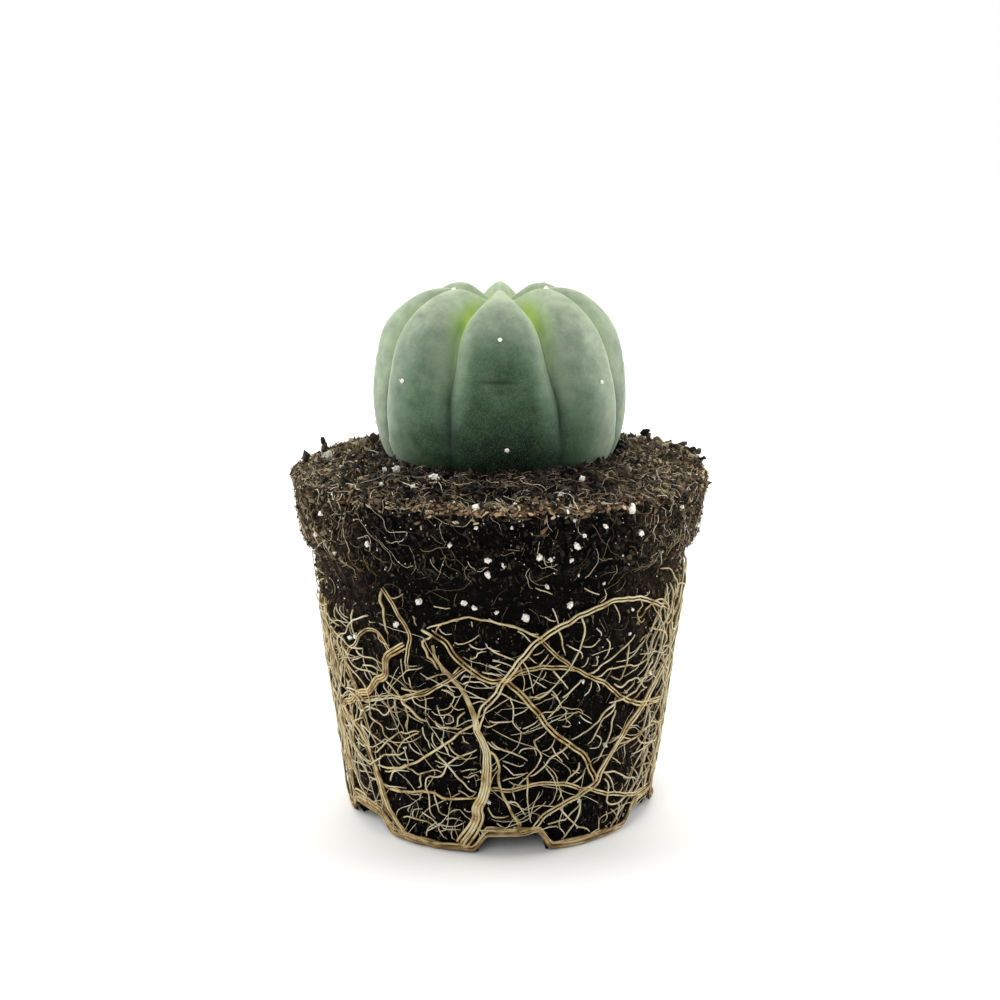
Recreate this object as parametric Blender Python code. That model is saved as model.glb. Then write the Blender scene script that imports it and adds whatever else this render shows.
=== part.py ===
"""Chin cactus on its bare root ball: a ribbed stem, the mix that a nursery pot moulded, and a net of roots.

Metres, +Z up, origin at the middle of the base, front of the plant towards -Y.
Run with: blender --background --python part.py
"""

import math
import random

import bmesh
import bpy
from mathutils import Matrix, Vector, noise

MM = 0.001

# Root ball, as the pot moulded it
BASE_RADIUS = 37.3 * MM  # of the wall, carried down to the ground
WALL_SLOPE = 0.125  # gain in radius for each unit of height
BASE_ROUNDING = 1.4 * MM  # of the edge between the base and the wall
WALL_TOP = 66.8 * MM
RIM_BOTTOM = 68.6 * MM
RIM_BOTTOM_RADIUS = 47.8 * MM
RIM_TOP = 83.6 * MM
RIM_TOP_RADIUS = 49.8 * MM
MOUND_TOP = 88.2 * MM  # of the mix, where it meets the stem
LIP_WIDTH = 0.5 * MM  # level ring of mix round the stem
HOLE_CLEARANCE = 0.4 * MM  # between the stem and the plain hole that it stands in
BALL_COLUMNS = 64
WALL_ROWS = 9
RIM_ROWS = 3
MOUND_ROWS = 4
BODY_STEPS = 12  # of the stem's crest, and of the hole that fits it
WALL_RELIEF = 0.55 * MM  # crumbs and hollows, all inside the wall's own radius
TOP_RELIEF = 1.5 * MM
LUMP_SPAN = 9.0 * MM  # size of the slow rise and fall in the relief
RIM_GRAINS = 20
MOUND_GRAINS = 32
GRAIN_RADIUS = (0.9 * MM, 1.5 * MM)

# Drainage notches round the base edge
NOTCH_COUNT = 6
NOTCH_FIRST = 4.5  # azimuth in degrees, from the front towards +X
NOTCH_WIDTH = 15.6 * MM
NOTCH_HEIGHT = 4.7 * MM
NOTCH_DEPTH = 12.0 * MM
NOTCH_ROUNDING = 1.8 * MM

# Stem
RIB_CRESTS = (0.0, 49.0, 94.0, 137.0, 180.0, 223.0, 266.0, 311.0)  # azimuths in degrees
COLUMNS_PER_RIB = 8
STEM_WAIST = 101.2 * MM  # height of the widest place
STEM_RADIUS = 30.4 * MM
STEM_TOP = 127.3 * MM
CROWN_RADIUS = 13.0 * MM  # circle on which the crests are highest
CROWN_DIP = 3.9 * MM
STEM_FOOT = 75.2 * MM  # where the body has narrowed to the neck
NECK_RADIUS = 8.0 * MM
SHOULDER = 0.92  # under 1 gives fuller shoulders than an ellipse has
NECK_TIP = 66.0 * MM
NECK_TIP_RADIUS = 6.0 * MM
VALLEY_DEEP = 7.6 * MM
VALLEY_CREASE = 1.0 * MM
VALLEY_START = 92.0 * MM  # height from which the creases open into valleys
RIB_ROUNDNESS = 0.94  # of a rib's section: 0 flat, 1 a half circle
AREOLE_RADIUS = 0.7 * MM
AREOLES = ((0.44, -0.19), (0.97, 0.15), (0.50, -0.10), (0.92, 0.25), (0.97, 0.32), (0.60, -0.05), (0.46, -0.16),
           (0.97, 0.16))  # on each rib: share of the way from its waist to its highest place, below 0 under it

# Roots
ROOT_FLATNESS = 0.55  # height of a thick root over its width
ROOT_GAP = 0.3 * MM  # clear space between the roots and the wall
RING_RADIUS = 0.95 * MM
RING_FLATNESS = 0.8
RING_FOOT = 1.7 * MM  # height of the ring root between notches
RING_LIFT = 4.7 * MM  # how far it climbs over a notch
ROOT_CEILING = 64.0 * MM
CURVE_STEPS = 12  # between two points of a route, before it is spaced evenly
RING_STEPS = 48
TIP_SLIMMING = 0.35  # share of its radius that a thick root loses towards either end
THICK_STRIDE = 6.0 * MM  # between the rings of a thick root, on top of its own radius
FOUR_SIDED_FROM = 0.65  # radius in mm from which a thick root has four sides and not three
BACK_ROOTS_FROM = 0.62  # radius in mm from which a root is repeated round the back
BACK_ROOTS_WITHIN = 75  # degrees from the front within which it must start
BACK_FOOT = 2.5  # height in mm from which the back's roots are shortened
BACK_SHORTENING = 0.95
FINE_ROOTS = 40
FINE_STRIDE = 4.8  # length in mm of each straight run of a fine root
FINE_STRIDES = (3, 4)
FINE_TURN = 0.75  # most that it turns between runs, in radians
FINE_HEIGHTS = (8.5, 61.5)  # lowest and highest place of a fine root, in mm
FINE_SLIMMING = 0.55
FINE_RADIUS = 0.42 * MM
LAYER_SPREAD = 0.35 * MM  # roots cross over and under each other by up to this much

# Thick roots, largest radius in mm, then azimuth in degrees and height in mm along the wall
FRONT_ROOTS = (
    (1.05, ((-20, 55), (-16, 53), (-12, 49), (-7, 46), (-2, 44), (2, 44), (6, 41), (12, 36), (16, 31), (23, 27),
            (28, 24), (31, 20), (34, 16))),
    (1.45, ((-22, 51), (-19, 48), (-15, 45), (-11, 41), (-8, 36), (-7, 32), (-5, 28), (-4, 24), (-4, 20),
            (-5, 16), (-7, 13), (-8, 9), (-13, 3))),
    (0.95, ((64, 54), (51, 58), (45, 60), (35, 61), (28, 60), (21, 58), (14, 55), (10, 53), (7, 50), (4, 47),
            (1, 44), (-1, 41), (-5, 37), (-7, 32))),
    (0.75, ((11, 54), (16, 50), (21, 47), (27, 44), (34, 41), (40, 37), (47, 34), (56, 32), (73, 30))),
    (0.70, ((0, 43), (5, 46), (11, 47), (17, 47), (23, 46))),
    (1.05, ((-29, 51), (-33, 49), (-36, 47), (-37, 43), (-42, 40), (-45, 37), (-50, 36), (-56, 33), (-66, 29))),
    (0.60, ((-34, 48), (-39, 53), (-45, 52), (-50, 48), (-56, 44), (-55, 40), (-51, 35))),
    (1.20, ((-67, 31), (-61, 28), (-54, 26), (-50, 23), (-48, 19), (-45, 14), (-44, 10), (-41, 6), (-36, 2.5))),
    (0.90, ((11, 6), (16, 10), (22, 12), (29, 14), (34, 16), (36, 19), (41, 24), (46, 28), (53, 32), (62, 38),
            (71, 41))),
    (0.75, ((-5, 17), (4, 17), (11, 18), (18, 18), (26, 16), (37, 13), (48, 10), (62, 8), (74, 7))),
    (0.70, ((-5, 28), (-1, 25), (0, 18), (2, 14), (5, 10), (7, 6))),
    (0.60, ((-57, 33), (-46, 35), (-38, 37), (-30, 38), (-23, 40), (-17, 43), (-10, 47))),
    (0.60, ((-35, 64), (-32, 61), (-30, 58), (-27, 54), (-28, 50), (-29, 45), (-26, 39))),
    (0.55, ((-21, 56), (-11, 59), (-5, 59), (0, 58), (5, 57), (12, 54))),
    (0.65, ((-47, 18), (-38, 19), (-29, 22), (-23, 25), (-17, 28), (-11, 32), (-7, 34))),
    (0.60, ((-45, 14), (-40, 13), (-31, 14), (-23, 15), (-18, 14), (-5, 15))),
    (1.00, ((66, 55), (67, 48), (71, 40), (71, 33), (75, 24), (74, 17), (73, 11), (75, 2.5))),
    (1.10, ((-67, 56), (-69, 47), (-67, 41), (-65, 34), (-66, 27), (-66, 20), (-66, 11), (-68, 4))),
    (0.80, ((92, 58), (90, 50), (94, 41), (90, 31), (93, 22), (97, 13), (100, 6))),
    (0.80, ((-92, 60), (-95, 51), (-91, 42), (-94, 33), (-90, 24), (-88, 15), (-90, 2.5))),
    (0.70, ((-68, 46), (-80, 41), (-93, 39), (-106, 42), (-118, 38))),
    (0.70, ((70, 36), (82, 39), (92, 35), (104, 33), (118, 37))),
)


def clear_scene():
    for thing in list(bpy.data.objects):
        bpy.data.objects.remove(thing, do_unlink=True)


def finish_material(name, color, roughness):
    material = bpy.data.materials.new(name)
    material.use_nodes = True
    shader = material.node_tree.nodes["Principled BSDF"]
    shader.inputs["Base Color"].default_value = (*color, 1.0)
    shader.inputs["Roughness"].default_value = roughness
    shader.inputs["Metallic"].default_value = 0.0
    return material


def add_object(name, bm, collection=None):
    """Make an object of a shape, in triangles, because a Boolean needs flat faces."""
    bmesh.ops.triangulate(bm, faces=bm.faces)
    mesh = bpy.data.meshes.new(name)
    bm.to_mesh(mesh)
    bm.free()
    made = bpy.data.objects.new(name, mesh)
    (collection or bpy.context.scene.collection).objects.link(made)
    return made


def combine(target, operation, parts, solver="EXACT"):
    """Join the collection's objects to the target, or cut them from it, and remove them."""
    modifier = target.modifiers.new(operation.lower(), "BOOLEAN")
    modifier.operation = operation
    modifier.operand_type = "COLLECTION"
    modifier.collection = parts
    modifier.solver = solver
    bpy.context.view_layer.objects.active = target
    bpy.ops.object.modifier_apply(modifier=modifier.name)
    for used in list(parts.objects):
        bpy.data.objects.remove(used, do_unlink=True)
    bpy.data.collections.remove(parts)


def new_collection(name):
    made = bpy.data.collections.new(name)
    bpy.context.scene.collection.children.link(made)
    return made


def keep_largest_body(target):
    """Drop the loose scraps that a union can leave beside its main body."""
    bm = bmesh.new()
    bm.from_mesh(target.data)
    unseen = set(bm.verts)
    bodies = []
    while unseen:
        front = [unseen.pop()]
        body = set(front)
        while front:
            corner = front.pop()
            for edge in corner.link_edges:
                other = edge.other_vert(corner)
                if other in unseen:
                    unseen.remove(other)
                    body.add(other)
                    front.append(other)
        bodies.append(body)
    largest = max(bodies, key=len)
    scraps = [corner for corner in bm.verts if corner not in largest]
    bmesh.ops.delete(bm, geom=scraps, context="VERTS")
    bm.to_mesh(target.data)
    bm.free()


def shade_round(target, sharp_angle):
    target.data.shade_smooth()
    target.data.set_sharp_from_angle(angle=math.radians(sharp_angle))


def turned(outline, columns):
    """Spin an outline of (radius, height) points round Z into a closed solid."""
    bm = bmesh.new()
    corners = [bm.verts.new((radius, 0.0, height)) for radius, height in outline]
    edges = [bm.edges.new(pair) for pair in zip(corners, corners[1:])]
    bmesh.ops.spin(bm, geom=corners + edges, cent=(0, 0, 0), axis=(0, 0, 1), angle=math.tau, steps=columns,
                   use_merge=True)
    bmesh.ops.remove_doubles(bm, verts=bm.verts, dist=0.01 * MM)
    bmesh.ops.recalc_face_normals(bm, faces=bm.faces)
    return bm


def at_azimuth(degrees, radius, height):
    """A point at an azimuth counted from the front (-Y) towards +X."""
    angle = math.radians(degrees)
    return Vector((radius * math.sin(angle), -radius * math.cos(angle), height))


def wall_radius(height):
    return BASE_RADIUS + WALL_SLOPE * height


def body_outline(clearance=0.0):
    """The stem's crest from its neck to its highest circle, as two quarter ellipses."""
    points = [(0.0, NECK_TIP - clearance), (NECK_TIP_RADIUS + clearance, NECK_TIP - clearance)]
    for step in range(BODY_STEPS + 1):
        turn = math.radians(-90 + 180 * step / BODY_STEPS)
        if turn < 0:
            inner, reach = NECK_RADIUS, STEM_WAIST - STEM_FOOT
        else:
            inner, reach = CROWN_RADIUS, STEM_TOP - STEM_WAIST
        radius = inner + (STEM_RADIUS - inner) * max(math.cos(turn), 0.0) ** SHOULDER + clearance
        points.append((radius, STEM_WAIST + reach * math.sin(turn) - clearance * (turn < 0)))
    return points


def crown_outline():
    """The crest's dip from the highest circle to the middle of the crown."""
    points = []
    for share in (0.78, 0.56, 0.34, 0.14, 0.0):
        drop = CROWN_DIP * math.cos(0.5 * math.pi * share) ** 2
        points.append((CROWN_RADIUS * share, STEM_TOP - drop))
    return points


def valley_depth(radius, height):
    """Depth of the valley between two ribs, square to the crest."""
    if height < STEM_FOOT:
        return 0.0
    climb = (height - VALLEY_START) / (STEM_TOP - VALLEY_START)
    depth = VALLEY_CREASE + (VALLEY_DEEP - VALLEY_CREASE) * min(1.0, max(0.0, climb) / 0.8) ** 1.4
    if radius < CROWN_RADIUS:
        depth *= radius / CROWN_RADIUS
    return depth


def rib_section(across):
    """Share of the valley's depth at a place across a rib: 0 on its crest, 1 in the valley on either side."""
    rise = 1 - math.sqrt(1 - (RIB_ROUNDNESS * across) ** 2)
    return rise / (1 - math.sqrt(1 - RIB_ROUNDNESS**2))


def rib_column(column):
    """Azimuth of one column of the stem's grid, and its place across its rib: 0 on the crest, 1 at the sides."""
    rib, place = divmod(column, COLUMNS_PER_RIB)
    crest = RIB_CRESTS[rib]
    before = RIB_CRESTS[rib - 1] - (360.0 if rib == 0 else 0.0)
    after = RIB_CRESTS[(rib + 1) % len(RIB_CRESTS)] + (360.0 if rib + 1 == len(RIB_CRESTS) else 0.0)
    across = -1.0 + 2.0 * place / COLUMNS_PER_RIB
    half_width = (crest - before) / 2 if across < 0 else (after - crest) / 2
    return crest + across * half_width, across


def outline_normals(outline):
    """Unit outward direction at each point of an outline that runs upwards on its outer side."""
    normals = []
    for place in range(len(outline)):
        before = outline[max(place - 1, 0)]
        after = outline[min(place + 1, len(outline) - 1)]
        along = (after[0] - before[0], after[1] - before[1])
        length = math.hypot(*along)
        normals.append((along[1] / length, -along[0] / length))
    return normals


def bridge(bm, here, there):
    """Skin between two rings of corners; a ring of one corner is a tip."""
    count = max(len(here), len(there))
    for corner in range(count):
        follow = (corner + 1) % count
        if len(here) == 1:
            bm.faces.new((here[0], there[follow], there[corner]))
        elif len(there) == 1:
            bm.faces.new((here[corner], here[follow], there[0]))
        else:
            bm.faces.new((here[corner], here[follow], there[follow], there[corner]))


def stem_shape():
    """The ribbed body: rings along the crest, sunk into the valleys between the ribs."""
    outline = body_outline() + crown_outline()
    columns = [rib_column(column) for column in range(len(RIB_CRESTS) * COLUMNS_PER_RIB)]
    bm = bmesh.new()
    rings = []
    for (radius, height), outward in zip(outline, outline_normals(outline)):
        if radius == 0.0:
            rings.append([bm.verts.new((0.0, 0.0, height))])
            continue
        depth = valley_depth(radius, height)
        ring = []
        for degrees, across in columns:
            sink = depth * rib_section(across)
            ring.append(bm.verts.new(at_azimuth(degrees, radius - sink * outward[0], height - sink * outward[1])))
        rings.append(ring)
    for here, there in zip(rings, rings[1:]):
        bridge(bm, here, there)
    bmesh.ops.recalc_face_normals(bm, faces=bm.faces)
    return bm


def small_lump(collection, centre, radius, draw):
    """One crumb, grain or tuft: a faceted ball, stretched and turned at random."""
    bm = bmesh.new()
    bmesh.ops.create_icosphere(bm, subdivisions=1, radius=radius)
    stretch = Matrix.Diagonal((draw.uniform(0.8, 1.25), draw.uniform(0.8, 1.25), 1.0, 1.0))
    turn = Matrix.Rotation(draw.uniform(0, math.tau), 4, Vector((draw.random(), draw.random(), 1.0)))
    bmesh.ops.transform(bm, matrix=Matrix.Translation(centre) @ turn @ stretch, verts=bm.verts)
    add_object("lump", bm, collection)


def crest_point(degrees, share):
    """A point on a rib's crest, share of the way from the waist (0) to the highest circle (1)."""
    turn = 0.5 * math.pi * share
    inner, reach = (CROWN_RADIUS, STEM_TOP - STEM_WAIST) if share > 0 else (NECK_RADIUS, STEM_WAIST - STEM_FOOT)
    radius = inner + (STEM_RADIUS - inner) * math.cos(turn) ** SHOULDER
    return at_azimuth(degrees, radius, STEM_WAIST + reach * math.sin(turn))


def build_stem():
    stem = add_object("cactus_stem", stem_shape())
    areoles = new_collection("areoles")
    draw = random.Random(5)
    for crest, shares in zip(RIB_CRESTS, AREOLES):
        for share in shares:
            small_lump(areoles, crest_point(crest, share), AREOLE_RADIUS, draw)
    combine(stem, "UNION", areoles)
    keep_largest_body(stem)
    shade_round(stem, 50)
    stem.data.materials.append(finish_material("succulent_skin", (0.115, 0.212, 0.133), 0.5))


def ball_outline():
    """The mix from the middle of its base, up the wall and the rim, over the mound and down the stem's hole."""
    points = [(0.0, 0.0), (BASE_RADIUS - NOTCH_DEPTH, 0.0), (BASE_RADIUS - BASE_ROUNDING, 0.0)]
    points.append((wall_radius(BASE_ROUNDING), BASE_ROUNDING))
    first = NOTCH_HEIGHT + BASE_ROUNDING
    for row in range(WALL_ROWS + 1):
        height = first + (WALL_TOP - first) * row / WALL_ROWS
        points.append((wall_radius(height), height))
    for row in range(RIM_ROWS + 1):
        share = row / RIM_ROWS
        points.append((rim_radius(share), RIM_BOTTOM + (RIM_TOP - RIM_BOTTOM) * share))
    hole = [point for point in body_outline(clearance=HOLE_CLEARANCE) if point[1] < MOUND_TOP]
    lip_radius = hole[-1][0] + LIP_WIDTH
    for row in range(MOUND_ROWS + 1):
        share = row / MOUND_ROWS
        radius = RIM_TOP_RADIUS - BASE_ROUNDING + (lip_radius - RIM_TOP_RADIUS + BASE_ROUNDING) * share
        points.append((radius, mound_height(share)))
    return points + list(reversed(hole))


def rim_radius(share):
    """Radius of the rim band, share of the way up it."""
    return RIM_BOTTOM_RADIUS + (RIM_TOP_RADIUS - RIM_BOTTOM_RADIUS) * share


def mound_height(share):
    """Height of the mix on top, share of the way in from the rim to the stem."""
    foot = RIM_TOP + 0.6 * BASE_ROUNDING
    return foot + (MOUND_TOP - foot) * math.sin(0.5 * math.pi * share)


def roughen(bm):
    """Crumb relief: the wall only gives way inwards, the rim and the mound go both ways."""
    draw = random.Random(11)
    for corner in bm.verts:
        radius = math.hypot(corner.co.x, corner.co.y)
        height = corner.co.z
        if height < 0.5 * BASE_ROUNDING or radius < STEM_RADIUS - BASE_ROUNDING:
            continue
        outward = Vector((corner.co.x, corner.co.y, 0.0)).normalized()
        slow = noise.noise(corner.co / LUMP_SPAN)
        if height < RIM_BOTTOM - 0.5 * BASE_ROUNDING:
            corner.co -= outward * WALL_RELIEF * min(1.0, max(0.0, 0.7 * draw.random() + 0.4 * (slow + 0.5)))
        elif height < RIM_TOP + 0.1 * BASE_ROUNDING:
            corner.co += outward * TOP_RELIEF * (draw.random() - 0.5 + 0.4 * slow)
        else:
            corner.co.z += TOP_RELIEF * (draw.random() - 0.5 + 0.8 * slow)
    return bm


def cut_notches(ball):
    cutters = new_collection("notch_cutters")
    for step in range(NOTCH_COUNT):
        degrees = NOTCH_FIRST + 360.0 * step / NOTCH_COUNT
        bm = bmesh.new()
        bmesh.ops.create_cube(bm, size=1.0)
        size = Matrix.Diagonal((NOTCH_WIDTH, NOTCH_DEPTH * 2, NOTCH_HEIGHT * 2, 1.0))
        bmesh.ops.transform(bm, matrix=size, verts=bm.verts)
        ridges = [edge for edge in bm.edges if abs(edge.verts[0].co.y - edge.verts[1].co.y) > MM]
        bmesh.ops.bevel(bm, geom=ridges, offset=NOTCH_ROUNDING, segments=2, profile=0.5, affect="EDGES")
        place = Matrix.Translation(at_azimuth(degrees, BASE_RADIUS, 0.0))
        turn = Matrix.Rotation(math.radians(degrees), 4, "Z")
        bmesh.ops.transform(bm, matrix=place @ turn, verts=bm.verts)
        cutter = add_object("notch_cutter", bm, cutters)
        cutter.hide_render = True
        cutter.display_type = "WIRE"
    combine(ball, "DIFFERENCE", cutters)


def scatter_grains(ball):
    """Perlite grains and crumbs that stand out of the rim and the mound."""
    grains = new_collection("grains")
    draw = random.Random(23)
    for _ in range(RIM_GRAINS):
        share = draw.uniform(0.1, 0.95)
        spot = at_azimuth(draw.uniform(0, 360), rim_radius(share), RIM_BOTTOM + (RIM_TOP - RIM_BOTTOM) * share)
        small_lump(grains, spot, draw.uniform(*GRAIN_RADIUS), draw)
    for _ in range(MOUND_GRAINS):
        share = draw.uniform(0.05, 0.85)
        radius = RIM_TOP_RADIUS - (RIM_TOP_RADIUS - STEM_RADIUS) * share
        spot = at_azimuth(draw.uniform(0, 360), radius, mound_height(share))
        small_lump(grains, spot, draw.uniform(*GRAIN_RADIUS), draw)
    combine(ball, "UNION", grains)
    keep_largest_body(ball)


def build_ball():
    ball = add_object("root_ball_mix", roughen(turned(ball_outline(), BALL_COLUMNS)))
    cut_notches(ball)
    scatter_grains(ball)
    shade_round(ball, 35)
    ball.data.materials.append(finish_material("peat_and_perlite_mix", (0.035, 0.026, 0.019), 0.95))


def smooth_route(points, spacing):
    """Even points along a curve through a route's own points, all as (azimuth, height in mm, radius in mm)."""
    dense = []
    for place in range(len(points) - 1):
        before = points[max(place - 1, 0)]
        start, end = points[place], points[place + 1]
        after = points[min(place + 2, len(points) - 1)]
        for step in range(CURVE_STEPS):
            t = step / CURVE_STEPS
            dense.append(tuple(0.5 * (2 * b + (c - a) * t + (2 * a - 5 * b + 4 * c - d) * t**2
                                      + (3 * b - a - 3 * c + d) * t**3)
                               for a, b, c, d in zip(before, start, end, after)))
    dense.append(points[-1])
    places = [at_azimuth(p[0], wall_radius(p[1] * MM), p[1] * MM) for p in dense]
    lengths = [0.0]
    for here, there in zip(places, places[1:]):
        lengths.append(lengths[-1] + (there - here).length)
    count = max(2, round(lengths[-1] / spacing))
    even = []
    place = 0
    for step in range(count + 1):
        goal = lengths[-1] * step / count
        while place < len(lengths) - 2 and lengths[place + 1] < goal:
            place += 1
        span = max(lengths[place + 1] - lengths[place], 1e-9)
        t = min(1.0, (goal - lengths[place]) / span)
        even.append(tuple(a + (b - a) * t for a, b in zip(dense[place], dense[place + 1])))
    return even


def root_tube(collection, route, sides, flatness, layer=0.0, closed=False):
    """Sweep a flattened tube along a route on the wall, just clear of the mix or a layer higher."""
    bm = bmesh.new()
    rings = []
    centres = []
    for degrees, height, radius in route:
        lift = radius * flatness * MM + ROOT_GAP + layer
        centres.append(at_azimuth(degrees, wall_radius(height * MM) + lift, height * MM))
    for place, (degrees, _, radius) in enumerate(route):
        if closed:
            along = centres[(place + 1) % len(route)] - centres[place - 1]
        else:
            along = centres[min(place + 1, len(route) - 1)] - centres[max(place - 1, 0)]
        out = at_azimuth(degrees, 1.0, 0.0)
        side = along.cross(out).normalized()
        up = side.cross(along).normalized()
        ring = []
        for corner in range(sides):
            turn = math.tau * (corner + 0.5 * (sides % 2 == 0)) / sides
            offset = side * math.sin(turn) * radius * MM + up * math.cos(turn) * radius * flatness * MM
            ring.append(bm.verts.new(centres[place] + offset))
        rings.append(ring)
    for here, there in zip(rings, rings[1:]):
        bridge(bm, here, there)
    if closed:
        bridge(bm, rings[-1], rings[0])
    else:
        bm.faces.new(rings[0])
        bm.faces.new(rings[-1])
    bmesh.ops.recalc_face_normals(bm, faces=bm.faces)
    return add_object("root", bm, collection)


def ring_route():
    """The root that circles the base edge and climbs over each notch."""
    route = []
    for step in range(RING_STEPS):
        degrees = 360.0 * step / RING_STEPS
        swing = math.cos(math.radians(NOTCH_COUNT * (degrees - NOTCH_FIRST)))
        lift = min(1.0, max(0.0, 0.6 + 0.9 * swing))
        route.append((degrees, (RING_FOOT + RING_LIFT * lift) / MM, RING_RADIUS / MM))
    return route


def thick_routes():
    """The routes seen from the front, and the same habit repeated round the back."""
    routes = []
    for radius, points in FRONT_ROOTS:
        count = len(points) - 1
        tapered = []
        for place, (degrees, height) in enumerate(points):
            slim = 1.0 - TIP_SLIMMING * abs(2 * place / count - 1)
            tapered.append((degrees, min(height, ROOT_CEILING / MM), radius * slim))
        routes.append(tapered)
        if abs(points[0][0]) < BACK_ROOTS_WITHIN and radius > BACK_ROOTS_FROM:
            routes.append([(180 - d, BACK_FOOT + (h - BACK_FOOT) * BACK_SHORTENING, r) for d, h, r in tapered])
    return routes


def fine_route(start, draw):
    """One thin root that wanders off a thick one and thins out."""
    degrees, height, _ = start
    lowest, highest = FINE_HEIGHTS
    heading = draw.uniform(0, math.tau)
    route = []
    steps = draw.randint(*FINE_STRIDES)
    for step in range(steps + 1):
        slim = 1.0 - FINE_SLIMMING * step / steps
        route.append((degrees, height, FINE_RADIUS / MM * slim))
        degrees += math.degrees(FINE_STRIDE * MM * math.cos(heading) / wall_radius(height * MM))
        height += FINE_STRIDE * math.sin(heading)
        if not lowest < height < highest:
            heading = -heading
            height = min(max(height, lowest), highest)
        heading += draw.uniform(-FINE_TURN, FINE_TURN)
    return route


def build_roots():
    strands = new_collection("strands")
    ring = root_tube(strands, ring_route(), 5, RING_FLATNESS, closed=True)
    strands.objects.unlink(ring)
    bpy.context.scene.collection.objects.link(ring)
    ring.name = "root_net"
    draw = random.Random(7)
    starts = []
    for route in thick_routes():
        wide = max(point[2] for point in route)
        even = smooth_route(route, THICK_STRIDE + wide * MM)
        starts += even
        sides = 4 if wide > FOUR_SIDED_FROM else 3
        root_tube(strands, even, sides, ROOT_FLATNESS, draw.uniform(0, LAYER_SPREAD))
    for _ in range(FINE_ROOTS):
        root_tube(strands, fine_route(draw.choice(starts), draw), 3, 1.0, draw.uniform(0, LAYER_SPREAD))
    combine(ring, "UNION", strands, solver="MANIFOLD")
    keep_largest_body(ring)
    shade_round(ring, 60)
    ring.data.materials.append(finish_material("root_bark", (0.45, 0.32, 0.19), 0.8))


clear_scene()
build_stem()
build_ball()
build_roots()
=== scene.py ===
import math
import random

import bpy
import numpy as np
from mathutils import Euler, Matrix, Vector, noise
from mathutils.bvhtree import BVHTree


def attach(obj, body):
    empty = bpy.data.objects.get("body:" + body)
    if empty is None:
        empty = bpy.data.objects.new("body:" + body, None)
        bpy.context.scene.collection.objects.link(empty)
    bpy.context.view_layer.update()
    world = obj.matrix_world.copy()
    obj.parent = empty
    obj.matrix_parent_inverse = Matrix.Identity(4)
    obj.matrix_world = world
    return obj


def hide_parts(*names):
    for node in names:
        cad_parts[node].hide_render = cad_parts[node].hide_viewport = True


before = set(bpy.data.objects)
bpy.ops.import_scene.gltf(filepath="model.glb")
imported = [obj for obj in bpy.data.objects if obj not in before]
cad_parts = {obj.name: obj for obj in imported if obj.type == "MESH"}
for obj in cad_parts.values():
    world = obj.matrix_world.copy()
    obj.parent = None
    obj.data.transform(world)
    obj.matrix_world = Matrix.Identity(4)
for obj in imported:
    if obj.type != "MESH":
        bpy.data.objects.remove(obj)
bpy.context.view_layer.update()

# The potting mix: moist peat and composted bark, held together by the plant's roots in the shape of the nursery pot
# that it grew in. The pot pressed its tapered wall, its rim band and six drainage notches into it. The top lies
# loose and rises a little towards the stem.
MM = 0.001
BASE_RADIUS = 37.3 * MM  # of the wall, carried down to the ground
WALL_SLOPE = 0.125  # gain in radius for each unit of height
BASE_ROUNDING = 1.4 * MM
WALL_TOP = 66.8 * MM
RIM_BOTTOM = 68.6 * MM
RIM_BOTTOM_RADIUS = 47.8 * MM
RIM_TOP = 83.6 * MM
RIM_TOP_RADIUS = 49.8 * MM
MOUND_TOP = 88.2 * MM
MOUND_FOOT = 0.6  # where the mound starts, above the rim, over the edge's rounding
HOLE_RADIUS = 27.9 * MM  # where the mix meets the stem
HOLE_FLOOR = 66.0 * MM
HOLE_FLOOR_RADIUS = 7.0 * MM
MIX_STEP = 0.5 * MM  # between the rows of corners on the rim and the top, fine enough for a crumb
WALL_STEP = 0.9 * MM
COARSE_STEP = 4.0 * MM  # under the base and in the hole, which hardly show
MIX_COLUMNS = 460
HEAPS = ((-99, 39, -1.5, 8.0), (-104, 34, -0.8, 5.0), (97, 44, 1.7, 6.0), (106, 38, 1.0, 6.0), (180, 38, -0.7, 12.0))
# Each is where the top is heaped, or has sunk: azimuth in degrees, then distance, rise and reach in mm.
NOTCH_COUNT = 6
NOTCH_FIRST = 4.5  # azimuth in degrees, from the front (-Y) towards +X
NOTCH_WIDTH = 15.6 * MM
NOTCH_HEIGHT = 4.7 * MM
NOTCH_DEPTH = 12.0 * MM
NOTCH_ROUNDING = 1.8 * MM
ON_LIMIT = 0.1 * MM  # enough to take in the corners that lie on a limit
HOLE_LIP = 4.0 * MM  # by which the hole's wall starts under the top of the mound
HEAPED_FROM = RIM_TOP - 4.0 * MM  # the lowest place that a heap lifts
# The kind of noise, its grain and depth in mm, the level of it that stays where it is, and the part it roughens
MIX_ROUGHNESS = (("CLOUDS", 9.0, 1.1, 0.75, "wall"), ("VORONOI", 1.9, -1.0, 0.25, "wall"),
                 ("CLOUDS", 0.9, 0.6, 0.55, "wall"), ("CLOUDS", 7.0, 1.5, 0.6, "loose"),
                 ("VORONOI", 1.7, -1.5, 0.35, "loose"), ("CLOUDS", 0.8, 1.2, 0.55, "loose"))
NOTCH_ROUGHNESS = ("CLOUDS", 1.6, 1.4, 0.4, "")
MIX_SIDE_LIGHT_ASIDE = (30.0, 75.0)  # degrees off the front between which painted side light comes in, from the front's painted shade to the paler sides
MIX_SIDE_LIGHT_OUTWARD = (29.0 * MM, 37.0 * MM)  # the same by distance from the middle
MIX_SIDE_LIGHT_UPWARD = (40.0 * MM, 70.0 * MM)  # the same by height
MIX_SIDE_LIGHT_BY_STEM = 0.2  # how much of that painted side light is left beside the stem, where shade is painted
MIX_SIDE_LIGHT_AT_FOOT = 0.45  # how much of it is left on the lower wall, which is painted shade there


def at_azimuth(degrees, radius, height):
    """A point at an azimuth counted from the front (-Y) towards +X."""
    angle = math.radians(degrees)
    return Vector((radius * math.sin(angle), -radius * math.cos(angle), height))


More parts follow.
